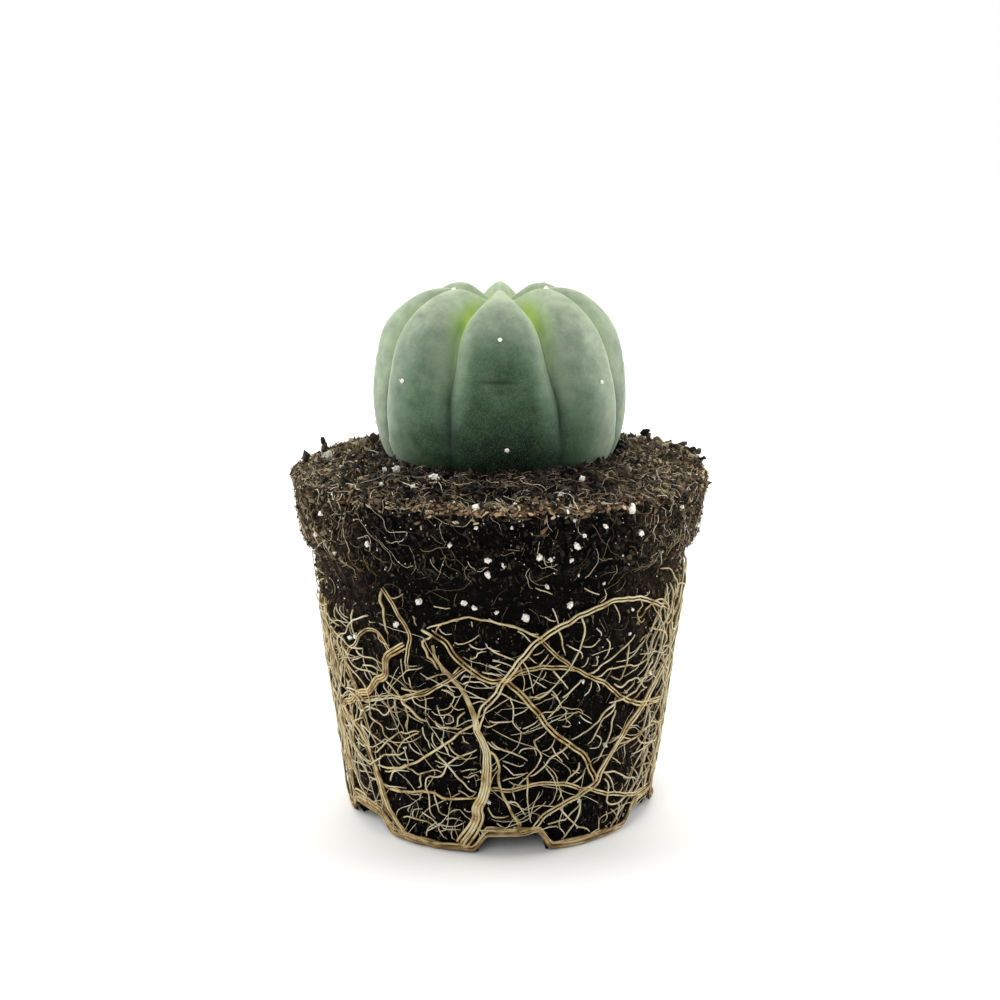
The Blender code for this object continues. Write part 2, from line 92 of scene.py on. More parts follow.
def wall_radius(height):
    return BASE_RADIUS + WALL_SLOPE * height


def rim_radius(height):
    return RIM_BOTTOM_RADIUS + (RIM_TOP_RADIUS - RIM_BOTTOM_RADIUS) * (height - RIM_BOTTOM) / (RIM_TOP - RIM_BOTTOM)


def mound_height(radius):
    share = (RIM_TOP_RADIUS - BASE_ROUNDING - radius) / (RIM_TOP_RADIUS - BASE_ROUNDING - HOLE_RADIUS)
    foot = RIM_TOP + MOUND_FOOT * BASE_ROUNDING
    return foot + (MOUND_TOP - foot) * math.sin(0.5 * math.pi * min(max(share, 0.0), 1.0))


def spaced(start, end, step):
    """Numbers from start to end, about one step apart."""
    return np.linspace(start, end, max(2, round(abs(end - start) / step) + 1))


def lone(piece):
    """Make a piece the only one selected and the active one, so that operators act on it alone."""
    bpy.ops.object.select_all(action="DESELECT")
    piece.select_set(True)
    bpy.context.view_layer.objects.active = piece


def corner_places(mesh):
    places = np.empty(len(mesh.vertices) * 3, np.float32)
    mesh.vertices.foreach_get("co", places)
    return places.reshape(-1, 3)


def add_fact(mesh, name, values):
    """Note one number, or one vector, for each corner, for a material to read."""
    kind, field = ("FLOAT", "value") if values.ndim == 1 else ("FLOAT_VECTOR", "vector")
    fact = mesh.attributes.new(name, kind, "POINT")
    fact.data.foreach_set(field, values.astype(np.float32).ravel())


def put_in_order(piece, facts=()):
    """Number a piece's corners and faces by where they lie, the same in each run, with these facts of its corners."""
    mesh = piece.data
    places = corner_places(mesh)
    order = np.lexsort(places.T)
    number = np.argsort(order).tolist()
    faces = [[number[corner] for corner in face.vertices] for face in mesh.polygons]
    ordered = bpy.data.meshes.new(piece.name)
    ordered.from_pydata(places[order], [], sorted(faces))
    for name in facts:
        values = np.empty(len(places), np.float32)
        mesh.attributes[name].data.foreach_get("value", values)
        add_fact(ordered, name, values[order])
    piece.data = ordered
    bpy.data.meshes.remove(mesh)
    ordered.name = piece.name


def turned(name, outline, columns):
    """Draw half an outline as (radius, height) points and spin it round Z into a closed skin."""
    mesh = bpy.data.meshes.new(name)
    mesh.from_pydata([(radius, 0.0, height) for radius, height in outline],
                     [(place, place + 1) for place in range(len(outline) - 1)], [])
    piece = bpy.data.objects.new(name, mesh)
    bpy.context.scene.collection.objects.link(piece)
    lone(piece)
    bpy.ops.object.mode_set(mode="EDIT")
    bpy.ops.mesh.select_all(action="SELECT")
    bpy.ops.mesh.spin(steps=columns, angle=math.tau, center=(0, 0, 0), axis=(0, 0, 1))
    bpy.ops.mesh.select_all(action="SELECT")
    bpy.ops.mesh.remove_doubles(threshold=0.01 * MM)
    bpy.ops.mesh.normals_make_consistent(inside=False)
    bpy.ops.object.mode_set(mode="OBJECT")
    put_in_order(piece)
    bpy.ops.object.shade_smooth()
    return piece


def roughen(piece, kind, grain, depth, middle, where):
    """Push the skin in and out along its normals by a noise of that grain and depth in mm, and fix the result."""
    texture = bpy.data.textures.new(f"{piece.name}_{kind.lower()}", kind)
    texture.noise_scale = grain * MM
    bpy.ops.object.modifier_add(type="DISPLACE")
    modifier = piece.modifiers[-1]
    modifier.texture = texture
    modifier.texture_coords = "LOCAL"
    modifier.strength = depth * MM
    modifier.mid_level = middle
    modifier.vertex_group = where
    bpy.ops.object.modifier_apply(modifier=modifier.name)


def linear(hex_colour):
    """An sRGB colour, written as hex, as the linear colour that a shader takes."""
    parts = [int(hex_colour[place:place + 2], 16) / 255 for place in (1, 3, 5)]
    return (*[part / 12.92 if part <= 0.04045 else ((part + 0.055) / 1.055) ** 2.4 for part in parts], 1.0)


def link(material, source, socket):
    """Link an output to a socket; a node stands for its first output."""
    output = source.outputs[0] if isinstance(source, bpy.types.Node) else source
    material.node_tree.links.new(output, socket)


def add_node(material, kind, links=None, stops=None, **settings):
    """Add a shader node with its settings; a link gives a socket its value, or what it takes its value from. Stops
    are the places and hex colours of a ramp."""
    made = material.node_tree.nodes.new(f"ShaderNode{kind}")
    for name, value in settings.items():
        setattr(made, name, value)
    for socket, value in (links or {}).items():
        if isinstance(value, (bpy.types.Node, bpy.types.NodeSocket)):
            link(material, value, made.inputs[socket])
        else:
            made.inputs[socket].default_value = value
    if stops:
        ramp = made.color_ramp
        while len(ramp.elements) < len(stops):
            ramp.elements.new(0.5)
        for element, (place, colour) in zip(ramp.elements, stops):
            element.position = place
            element.color = linear(colour)
    return made


def new_material(name, **sockets):
    """A material whose shader has these values on its own sockets."""
    material = bpy.data.materials.new(name)
    material.use_nodes = True
    shader = material.node_tree.nodes["Principled BSDF"]
    for socket, value in sockets.items():
        shader.inputs[socket.replace("_", " ")].default_value = value
    return material, shader


def passed(value, limits):
    """How far a value has come from the first limit to the second, from 0 to 1."""
    first, second = limits
    return np.clip((value - first) / (second - first), 0.0, 1.0)


def painted_side_light(x, y, height):
    """Painted light: from 0 for painted shade on the black mix in front, round the stem and low on the wall, to 1 for
    painted side light on the brown sides and edges.
    """
    aside = passed(np.abs(np.degrees(np.arctan2(x, -y))), MIX_SIDE_LIGHT_ASIDE)
    outward = np.maximum(passed(np.hypot(x, y), MIX_SIDE_LIGHT_OUTWARD), MIX_SIDE_LIGHT_BY_STEM)
    return aside * outward * (MIX_SIDE_LIGHT_AT_FOOT + (1.0 - MIX_SIDE_LIGHT_AT_FOOT) * passed(height, MIX_SIDE_LIGHT_UPWARD))


def dress(piece, material):
    piece.data.materials.clear()
    piece.data.materials.append(material)
    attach(piece, "root")


outline = [(radius, 0.0) for radius in spaced(0.0, BASE_RADIUS - BASE_ROUNDING, COARSE_STEP)]
outline += [(wall_radius(height), height) for height in spaced(BASE_ROUNDING, WALL_TOP, WALL_STEP)]
outline += [(rim_radius(height), height) for height in spaced(RIM_BOTTOM, RIM_TOP, MIX_STEP)]
outline += [(radius, mound_height(radius)) for radius in spaced(RIM_TOP_RADIUS - BASE_ROUNDING, HOLE_RADIUS, MIX_STEP)]
outline += [(radius, height) for radius, height in zip(spaced(HOLE_RADIUS - MM, HOLE_FLOOR_RADIUS, COARSE_STEP),
                                                       spaced(MOUND_TOP - HOLE_LIP, HOLE_FLOOR, COARSE_STEP))]
outline.append((0.0, HOLE_FLOOR))
mix = turned("potting_mix", outline, MIX_COLUMNS)

smooth_places = corner_places(mix.data)
reach = np.hypot(smooth_places[:, 0], smooth_places[:, 1])
outward = np.array([corner.vector for corner in mix.data.vertex_normals])
on_wall = (smooth_places[:, 2] > 0.5 * BASE_ROUNDING) & (smooth_places[:, 2] < WALL_TOP + ON_LIMIT)
on_top = (smooth_places[:, 2] > WALL_TOP + ON_LIMIT) & (reach > HOLE_RADIUS - ON_LIMIT)
for group_name, chosen in (("wall", on_wall), ("loose", on_top)):
    group = mix.vertex_groups.new(name=group_name)
    group.add(np.flatnonzero(chosen).tolist(), 1.0, "REPLACE")
lone(mix)
for roughness in MIX_ROUGHNESS:
    roughen(mix, *roughness)
rough_places = corner_places(mix.data)
# How far each corner stands out or sinks in; the peat's colour reads it to paint shade into the hollows.
rise = ((rough_places - smooth_places) * outward).sum(axis=1) / MM
add_fact(mix.data, "rise", rise)
# The mix's painted light, for its colour: painted shade in front, round the stem and low on the wall, and painted side
# light on the sides.
add_fact(mix.data, "dry", painted_side_light(*smooth_places.T))
for degrees, distance, height, heap_reach in HEAPS:
    away = np.hypot(*(smooth_places[:, :2] - at_azimuth(degrees, distance * MM, 0.0)[:2]).T) / (heap_reach * MM)
    rough_places[:, 2] += height * MM * np.exp(-away**2) * on_top * (smooth_places[:, 2] > HEAPED_FROM)
mix.data.vertices.foreach_set("co", rough_places.ravel())
mix.data.update()

bpy.ops.object.select_all(action="DESELECT")
cutters = []
for step in range(NOTCH_COUNT):
    bearing = NOTCH_FIRST + 360.0 * step / NOTCH_COUNT
    bpy.ops.mesh.primitive_cube_add(size=1.0, scale=(NOTCH_WIDTH, 2 * NOTCH_DEPTH, 2 * NOTCH_HEIGHT),
                                    location=at_azimuth(bearing, BASE_RADIUS, 0.0),
                                    rotation=(0.0, 0.0, math.radians(bearing)))
    cutter = bpy.context.object
    lone(cutter)
    bpy.ops.object.transform_apply(location=False, rotation=False, scale=True)
    bpy.ops.object.mode_set(mode="EDIT")
    bpy.ops.mesh.select_all(action="DESELECT")
    bpy.ops.object.mode_set(mode="OBJECT")
    for edge in cutter.data.edges:
        low, high = (cutter.data.vertices[corner].co for corner in edge.vertices)
        edge.select = abs(low.y - high.y) > NOTCH_DEPTH
    bpy.ops.object.mode_set(mode="EDIT")
    bpy.ops.mesh.select_mode(type="EDGE")
    bpy.ops.mesh.bevel(offset=NOTCH_ROUNDING, segments=4)
    bpy.ops.mesh.select_all(action="SELECT")
    bpy.ops.mesh.subdivide(number_cuts=6)
    bpy.ops.mesh.select_mode(type="VERT")
    bpy.ops.object.mode_set(mode="OBJECT")
    bpy.ops.object.transform_apply(location=True, rotation=True, scale=True)
    roughen(cutter, *NOTCH_ROUGHNESS)
    cutters.append(cutter)
bpy.ops.object.select_all(action="DESELECT")
for cutter in cutters:
    cutter.select_set(True)
bpy.context.view_layer.objects.active = cutters[0]
bpy.ops.object.join()
notch_cutter = bpy.context.object
put_in_order(notch_cutter)
lone(mix)
bpy.ops.object.modifier_add(type="BOOLEAN")
mix.modifiers[-1].object = notch_cutter
mix.modifiers[-1].operation = "DIFFERENCE"
mix.modifiers[-1].solver = "MANIFOLD"
bpy.ops.object.modifier_apply(modifier=mix.modifiers[-1].name)
bpy.data.objects.remove(notch_cutter, do_unlink=True)
put_in_order(mix, ("rise", "dry"))
bpy.ops.object.shade_smooth()
mix_surface = BVHTree.FromObject(mix, bpy.context.evaluated_depsgraph_get())

# Moist peat, pressed and crumbling: black at the front and round the stem, which is painted shade, and umber at the
# sides, which is painted side light; darker in its hollows and paler where it stands out, which is painted shade too.
# Its crumbs, nearly a millimetre across and each of its own tone, and their grain are drawn as bump.
peat, shader = new_material("moist_peat", Roughness=0.8, Specular_IOR_Level=0.04)
rise_fact = add_node(peat, "Attribute", attribute_name="rise").outputs["Fac"]
side_light_fact = add_node(peat, "Attribute", attribute_name="dry").outputs["Fac"]
surface = add_node(peat, "TexCoord").outputs["Object"]
patches = add_node(peat, "TexNoise", {"Vector": surface, "Scale": 1 / (1.2 * MM), "Detail": 6.0, "Roughness": 0.7})
# Painted shade in the hollows: darker where the mix sinks in, paler where it stands out.
painted_hollow_shade = add_node(peat, "MapRange", {"Value": rise_fact, "From Min": -1.4, "From Max": 1.2})
cells = add_node(peat, "TexVoronoi", {"Vector": surface, "Scale": 1 / (0.85 * MM)})
cell_tone = add_node(peat, "MapRange", {"Value": cells.outputs["Color"], "From Min": 0.2, "From Max": 0.8,
                                        "To Min": 0.4, "To Max": 1.65})
mixed = add_node(peat, "Math", {0: painted_hollow_shade, 1: patches}, operation="MULTIPLY")
mixed = add_node(peat, "Math", {0: mixed, 1: cell_tone}, operation="MULTIPLY")
# Two ramps: painted shade for the black front and painted side light for the brown sides, mixed by that mask.
front_shade_ramp = add_node(peat, "ValToRGB", {"Fac": mixed},
               stops=((0.0, "#020202"), (0.3, "#080706"), (0.5, "#171512"), (0.7, "#34302A")))
side_lit_ramp = add_node(peat, "ValToRGB", {"Fac": mixed},
                 stops=((0.0, "#0A0805"), (0.2, "#281F15"), (0.38, "#5B4B34"), (0.6, "#8C7B5C")))
both = add_node(peat, "Mix", {"Factor": side_light_fact, "A": front_shade_ramp, "B": side_lit_ramp}, data_type="RGBA")
link(peat, both.outputs["Result"], shader.inputs["Base Color"])
grain = add_node(peat, "TexNoise", {"Vector": surface, "Scale": 1 / (0.5 * MM), "Detail": 2.0})
crumbly = add_node(peat, "Bump", {"Height": cells.outputs["Distance"], "Strength": 0.9, "Distance": 0.4 * MM},
                   invert=True)
bump = add_node(peat, "Bump", {"Height": grain, "Strength": 0.6, "Distance": 0.25 * MM, "Normal": crumbly})
link(peat, bump, shader.inputs["Normal"])
dress(mix, peat)
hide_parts("root_ball_mix")

# Loose crumbs of the same peat, with chips of bark among them. They cling all over the mix, finer on the wall that
# the pot pressed and coarser on the rim and the top, where they are heaped and stand out of the outline.
# Zone, number of round crumbs and of flat ones, smallest and largest radius in mm, how far they stand out and how
# pale they are
CRUMB_ZONES = (
    ("wall", 1400, 6300, 0.16, 0.5, 0.3, 1.0),
    ("rim", 850, 3200, 0.2, 0.65, 0.3, 0.86),
    ("top", 700, 3200, 0.2, 0.75, 0.4, 1.06),
    ("foot", 200, 400, 0.3, 0.9, 0.4, 0.9),
)
FINENESS = 2.2  # the power by which small crumbs outnumber large ones
DARKNESS = 1.3  # the same for dark ones
SHADED_TONE = (0.07, 0.55)  # the darkest tone and how much paler a crumb may be, where no side light is painted
SIDE_LIGHT_TONE = (0.18, 0.4)  # what painted side light adds to each, where it is full
SITTING = (-0.2, 1.0)  # how far crumbs are out of the mix, over how far their zone lets them stand out
CLODS = 110
CLOD = (0.7 * MM, 1.45 * MM)
CLOD_TONE = (0.3, 0.22, 0.22)  # the darkest, how much paler it may be, and what painted side light adds to that
CLOD_MARGIN = 4.0 * MM  # how far they keep from the edge of the top
CLOD_SUNK = 0.2  # how deep they sit, over their radius
FLECKS = 1800
FLECK = (0.1 * MM, 0.24 * MM)
FLECK_TONE = (0.3, 0.45, 0.3)
# The lumps that stand out of the outline: azimuth in degrees, then distance, height and radius in mm, and tone
TALL_LUMPS = (
    (-97, 43.7, 88.9, 0.9, 0.3), (-97, 43.2, 87.5, 1.2, 0.5), (-93, 47.0, 86.0, 1.2, 0.4),
    (-108, 35.2, 87.8, 1.2, 0.6), (-111, 33.6, 88.6, 1.1, 0.5), (108, 37.8, 90.2, 1.1, 0.2),
    (107, 38.4, 88.8, 1.3, 0.5), (104, 40.2, 88.7, 0.9, 0.6), (100, 42.4, 87.5, 1.2, 0.5),
    (98, 45.2, 88.1, 1.0, 0.5), (97, 43.8, 87.8, 1.1, 0.6), (94, 46.8, 87.2, 0.9, 0.4),
    (92, 48.2, 87.2, 0.8, 0.5), (91, 49.0, 85.6, 0.8, 0.4), (104, 36.0, 88.4, 1.2, 0.62),
    (99, 39.0, 88.0, 1.1, 0.7), (94, 36.5, 88.0, 1.0, 0.5), (93, 45.3, 85.8, 1.1, 0.75),
    (88, 46.5, 85.2, 0.9, 0.7), (96, 42.0, 87.4, 1.1, 0.4), (86, 41.0, 86.8, 1.2, 0.35),
)


def shape_of(master):
    """A modelled master's corners and triangles; the master itself is then put away."""
    mesh = master.data
    mesh.calc_loop_triangles()
    corners = corner_places(mesh)
    triangles = np.array([triangle.vertices[:] for triangle in mesh.loop_triangles])
    bpy.data.objects.remove(master, do_unlink=True)
    return corners, triangles


def knock(jag, stretch, seed):
    """Knock the ball that was just added out of shape, and then stretch it."""
    bpy.ops.object.mode_set(mode="EDIT")
    bpy.ops.mesh.select_all(action="SELECT")
    bpy.ops.transform.vertex_random(offset=jag, uniform=1.0, normal=0.3, seed=seed)
    bpy.ops.transform.resize(value=stretch)
    bpy.ops.object.mode_set(mode="OBJECT")
    return bpy.context.object


def lump(divisions, jag, stretch, seed):
    """A ball of radius 1 with many faces, knocked out of shape."""
    bpy.ops.object.select_all(action="DESELECT")
    bpy.ops.mesh.primitive_ico_sphere_add(subdivisions=divisions, radius=1.0)
    return knock(jag, stretch, seed)


def flake(jag, stretch, seed):
    """A wedge about 1 in radius with few faces, knocked out of shape."""
    bpy.ops.object.select_all(action="DESELECT")
    bpy.ops.mesh.primitive_cone_add(vertices=3, radius1=1.2, radius2=0.6, depth=1.3)
    return knock(jag, stretch, seed)


def new_piece(name, corners, faces, facts, smooth):
    """A piece from its corners, its faces as one array for each number of sides, and what is noted of each corner."""
    mesh = bpy.data.meshes.new(name)
    mesh.vertices.add(len(corners))
    mesh.vertices.foreach_set("co", corners.astype(np.float32).ravel())
    loops = np.concatenate([group.ravel() for group in faces])
    sides = np.concatenate([np.full(len(group), group.shape[1]) for group in faces])
    mesh.loops.add(len(loops))
    mesh.loops.foreach_set("vertex_index", loops.astype(np.int32))
    mesh.polygons.add(len(sides))
    mesh.polygons.foreach_set("loop_start", np.concatenate([[0], np.cumsum(sides)[:-1]]).astype(np.int32))
    mesh.update(calc_edges=True)
    for fact, values in facts.items():
        add_fact(mesh, fact, values)
    if smooth:
        mesh.shade_smooth()
    else:
        mesh.shade_flat()
    piece = bpy.data.objects.new(name, mesh)
    bpy.context.scene.collection.objects.link(piece)
    return piece


def copies(name, shapes, places, smooth=False):
    """Copies of the shapes in one piece; a place is the shape's number, where and how it stands, and its tone."""
    corners, triangles, tones = [], [], []
    start = 0
    for number, matrix, tone in places:
        points, faces = shapes[number]
        stand = np.array(matrix)
        corners.append(points @ stand[:3, :3].T + stand[:3, 3])
        triangles.append(faces + start)
        tones.append(np.full(len(points), tone))
        start += len(points)
    facts = {"tone": np.concatenate(tones)}
    return new_piece(name, np.concatenate(corners), [np.concatenate(triangles)], facts, smooth)


def on_mix(degrees, height=None, radius=None):
    """Where the mix is met and which way it faces: from outside at a height, or from above at a radius."""
    if radius is None:
        start = at_azimuth(degrees, 2 * RIM_TOP_RADIUS, height)
        aim = at_azimuth(degrees, -1.0, 0.0)
    else:
        start = at_azimuth(degrees, radius, 2 * MOUND_TOP)
        aim = Vector((0.0, 0.0, -1.0))
    spot, facing, _, _ = mix_surface.ray_cast(start, aim)
    return spot, facing


def any_way(spot, draw):
    """Stand something at a spot, turned any way."""
    return Matrix.Translation(spot) @ Euler([draw.uniform(0.0, math.tau) for _ in range(3)]).to_matrix().to_4x4()


def scattered(draw, number, zone):
    """Seeded places on a zone of the mix: its wall, its rim, its top or the foot of the stem."""
    found = []
    while len(found) < number:
        degrees = draw.uniform(0.0, 360.0)
        if zone == "wall":
            spot, facing = on_mix(degrees, height=draw.uniform(1.0 * MM, RIM_BOTTOM))
        elif zone == "rim":
            spot, facing = on_mix(degrees, height=draw.uniform(RIM_BOTTOM, RIM_TOP + BASE_ROUNDING))
        elif zone == "foot":
            spot, facing = on_mix(degrees, radius=HOLE_RADIUS + abs(draw.gauss(0.0, 1.2 * MM)))
        else:
            share = math.sqrt(draw.uniform((HOLE_RADIUS / RIM_TOP_RADIUS) ** 2, 1.0))
            spot, facing = on_mix(degrees, radius=RIM_TOP_RADIUS * share)
        if spot is not None:
            found.append((degrees, spot, facing))
    return found


# A seeded tone, with the mix's painted side light added to its range.
def drawn_tone(spot, tones, draw):
    darkest, tone_range, side_light_range = tones
    return darkest + draw.random() * (tone_range + side_light_range * painted_side_light(*spot))


CLOD_SHAPES = [shape_of(lump(2, 0.3, (1.3, 1.0, 0.8), seed)) for seed in (60, 61, 62)]
LUMPS = [shape_of(lump(1, jag, (1.2, 1.0, 0.8), seed)) for seed, jag in enumerate((0.2, 0.25, 0.35, 0.45))]
FLAKES = [shape_of(flake(0.25, (stretch, 1.0, 0.6), seed)) for seed, stretch in enumerate((1.2, 1.5, 1.8, 2.2, 2.6))]
draw = random.Random(31)
crumb_places = []
for zone, lumps, flakes, small, large, proud, pale in CRUMB_ZONES:
    for place, (_, spot, facing) in enumerate(scattered(draw, lumps + flakes, zone)):
        size = (small + (large - small) * draw.random() ** FINENESS) * MM
        size = min(size, 0.5 * spot.z)
        # Each crumb's tone takes in the mix's painted light: painted shade in front, painted side light on the sides.
        darkest, range_above = np.array(SHADED_TONE) + np.array(SIDE_LIGHT_TONE) * painted_side_light(*spot)
        spot = spot + facing * size * draw.uniform(*SITTING) * proud * 2
        tone = pale * (darkest + draw.random() ** DARKNESS * range_above)
        kind = draw.randrange(len(LUMPS)) if place < lumps else len(LUMPS) + draw.randrange(len(FLAKES))
        crumb_places.append((kind, any_way(spot, draw) @ Matrix.Scale(size, 4), tone))
for _, spot, _ in scattered(draw, CLODS, "top"):
    size = draw.uniform(*CLOD)
    stand = any_way(spot - Vector((0.0, 0.0, CLOD_SUNK * size)), draw)
    kind = len(LUMPS) + len(FLAKES) + draw.randrange(len(CLOD_SHAPES))
    tone = drawn_tone(spot, CLOD_TONE, draw)
    if math.hypot(spot.x, spot.y) < RIM_TOP_RADIUS - CLOD_MARGIN:
        crumb_places.append((kind, stand @ Matrix.Scale(size, 4), tone))
for degrees, distance, height, size, tone in TALL_LUMPS:
    spot = at_azimuth(degrees, distance * MM, height * MM)
    crumb_places.append((draw.randrange(len(LUMPS)), any_way(spot, draw) @ Matrix.Scale(size * MM, 4), tone))
for zone in ("wall", "rim", "top"):
    for _, spot, facing in scattered(draw, FLECKS // 3, zone):
        stand = any_way(spot + facing * draw.uniform(0.0, 0.5) * MM, draw)
        tone = drawn_tone(spot, FLECK_TONE, draw)
        kind = len(LUMPS) + draw.randrange(len(FLAKES))
        crumb_places.append((kind, stand @ Matrix.Scale(draw.uniform(*FLECK), 4), tone))
crumbs = copies("loose_crumbs", LUMPS + FLAKES + CLOD_SHAPES, crumb_places)


def coloured_by(material, shader, fact, stops):
    """Let what is noted of each corner pick the colour from the stops."""
    noted = add_node(material, "Attribute", attribute_name=fact).outputs["Fac"]
    link(material, add_node(material, "ValToRGB", {"Fac": noted}, stops=stops), shader.inputs["Base Color"])
    return noted


def fine_grain(material, shader, grain):
    """Emboss a fine noise of that grain."""
    surface = add_node(material, "TexCoord").outputs["Object"]
    noise_of_it = add_node(material, "TexNoise", {"Vector": surface, "Scale": 1 / grain})
    bump = add_node(material, "Bump", {"Height": noise_of_it, "Strength": 0.7, "Distance": 0.2 * MM})
    link(material, bump, shader.inputs["Normal"])


# Crumbs of peat and bark: each one has its own tone, from black to a pale brown, with the mix's painted side light in
# it, and a dull moist shine.
crumb_stuff, shader = new_material("peat_and_bark_crumbs", Specular_IOR_Level=0.12)
tone = coloured_by(crumb_stuff, shader, "tone", ((0.0, "#050504"), (0.25, "#151310"), (0.45, "#2E2A24"),
                                                 (0.65, "#5E5340"), (0.85, "#8F8163"), (1.0, "#B4A686")))
shine = add_node(crumb_stuff, "MapRange", {"Value": tone, "To Min": 0.5, "To Max": 0.9})
link(crumb_stuff, shine, shader.inputs["Roughness"])
fine_grain(crumb_stuff, shader, 0.4 * MM)
dress(crumbs, crumb_stuff)

# Chips of composted bark: thin reddish slivers a millimetre or two long. Watering has floated them out to the edge of
# the top, where they lie flat, mostly along the edge, and fewer of them lie over the sides, more where the mix's
# painted side light is strong.
EDGE_CHIPS = 1150
FRONT_CHIPS = 420
SIDE_CHIPS = 400
CHIP = (0.2 * MM, 0.55 * MM)
FRONT_CHIP = (0.28 * MM, 0.6 * MM)
OVER_EDGE = 0.35  # share of the edge's chips that hang over it, on the rim
HUNG = 1.4  # mm that they hang down, and
INWARD = 3.0  # mm that the others lie in from the edge, both as a spread
FRONT_MIDDLE = (4.0, 22.0)  # azimuth of the middle of those in front and their spread, in degrees
FRONT_OUTWARD = (-1.0, 1.6)  # mm that they lie out from the edge and their spread
CHIP_TILT = 0.35  # the spread of their tilt, in radians
CHIP_SHAPES = [shape_of(lump(1, 0.3, (stretch, 0.9, 0.55), seed)) for seed, stretch in enumerate((1.6, 2.0, 2.5), 50)]


def upright(spot, facing):
    """Stand something on a skin at a spot, facing as the skin does."""
    return Matrix.Translation(spot) @ facing.to_track_quat("Z", "Y").to_matrix().to_4x4()


def lying(spot, facing, draw, unrest):
    """Stand something flat on the mix with its length along the edge, turned and tilted a little."""
    turned_by = Euler((draw.gauss(0.0, CHIP_TILT), draw.gauss(0.0, CHIP_TILT), draw.gauss(0.0, unrest)))
    return upright(spot, facing) @ turned_by.to_matrix().to_4x4()


draw = random.Random(38)
chip_places = []
while len(chip_places) < EDGE_CHIPS:
    degrees = draw.uniform(-180.0, 180.0)
    if draw.random() < OVER_EDGE:
        spot, facing = on_mix(degrees, height=RIM_TOP - abs(draw.gauss(0.0, HUNG)) * MM)
    else:
        spot, facing = on_mix(degrees, radius=RIM_TOP_RADIUS - abs(draw.gauss(0.0, INWARD)) * MM)
    if spot is not None:
        tone = draw.random() ** 1.3
        kind, stand = draw.randrange(3), lying(spot, facing, draw, 0.5)
        chip_places.append((kind, stand @ Matrix.Scale(draw.uniform(*CHIP), 4), tone))
while len(chip_places) < EDGE_CHIPS + FRONT_CHIPS:
    spot, facing = on_mix(draw.gauss(*FRONT_MIDDLE), radius=RIM_TOP_RADIUS + draw.gauss(*FRONT_OUTWARD) * MM)
    if spot is not None:
        size = Matrix.Scale(draw.uniform(*FRONT_CHIP), 4)
        chip_places.append((draw.randrange(3), lying(spot, facing, draw, 0.5) @ size, 0.25 + 0.7 * draw.random()))
for zone in ("rim", "top"):
    for _, spot, facing in scattered(draw, SIDE_CHIPS, zone):
        if draw.random() < painted_side_light(*spot):
            size = Matrix.Scale(draw.uniform(*CHIP), 4)
            chip_places.append((draw.randrange(3), lying(spot, facing, draw, 1.5) @ size, draw.random() ** 1.4))
bark_chips = copies("bark_chips", CHIP_SHAPES, chip_places)

# Composted bark: matt, from nearly black through a reddish brown to the tan of a fresh break, each chip its own.
bark_stuff, shader = new_material("composted_bark", Roughness=0.85, Specular_IOR_Level=0.1)
coloured_by(bark_stuff, shader, "tone", ((0.0, "#1A1410"), (0.35, "#463629"), (0.6, "#755C45"), (0.85, "#A38B6B"),
                                         (1.0, "#CDBD9E")))
fine_grain(bark_stuff, shader, 0.3 * MM)
dress(bark_chips, bark_stuff)

# Perlite: volcanic glass that was popped in a furnace into white, porous grains and then mixed through the peat. The
# front grains lie where the plant shows them, and the rest are strewn all round.
# On the wall: azimuth in degrees, then height and radius in mm
WALL_GRAINS = (
    (-24, 61.8, 0.9), (-10, 62.6, 0.8), (-7, 61.5, 0.9), (7, 59.1, 1.15), (20, 61.5, 0.9), (-1, 60.4, 0.6),
    (-32, 55.5, 0.8), (13, 66.2, 0.7), (-37, 74.4, 0.8), (-55, 78.9, 1.0), (-60, 72.9, 0.8), (-52, 70.2, 0.7),
    (19, 81.5, 0.6), (-6, 80.6, 0.6), (3, 80.6, 0.5), (22, 77.9, 0.6), (-3, 73.1, 0.9), (10, 73.6, 0.8),
    (13, 73.0, 0.6), (1, 72.0, 0.6), (-3, 69.9, 1.0), (-13, 76.2, 0.7), (35, 82.8, 1.3), (40, 76.6, 0.9),
)
# On the top: azimuth in degrees, then distance from the middle and radius in mm
TOP_GRAINS = (
    (-46, 33.2, 1.4), (-26, 33.8, 1.2), (-24, 34.6, 0.9), (-29, 39.6, 0.8), (-6, 48.1, 1.0), (18, 42.7, 0.8),
    (10, 44.8, 0.8), (4, 45.4, 0.7), (17, 49.4, 0.6), (-97, 42.4, 1.5), (-40, 41.0, 0.7),
)
GRAIN_GIRTH = 0.78  # of the grain itself, over the spot that it makes
WALL_PROUD, TOP_PROUD = 0.3, 0.5  # how far its middle stands out, over its radius
STREWN = (("wall", 46), ("rim", 26), ("top", 34))
STREWN_GRAIN = (0.25 * MM, 0.75 * MM)
DUST = (("wall", 220), ("rim", 220), ("top", 220))
DUST_GRAIN = (0.1 * MM, 0.24 * MM)
DUST_PROUD = 0.1 * MM

grain_shapes = [shape_of(lump(2, 0.24, (1.25, 1.0, 0.8), seed)) for seed in range(20, 24)]
dust_shapes = [shape_of(lump(1, 0.25, (1.0, 1.0, 0.8), seed)) for seed in range(30, 33)]
draw = random.Random(32)
grain_places = []


def add_grain(spot, size, dusty=False):
    first, number = (len(grain_shapes), len(dust_shapes)) if dusty else (0, len(grain_shapes))
    kind, stand = first + draw.randrange(number), any_way(spot, draw)
    grain_places.append((kind, stand @ Matrix.Scale(size, 4), draw.random()))


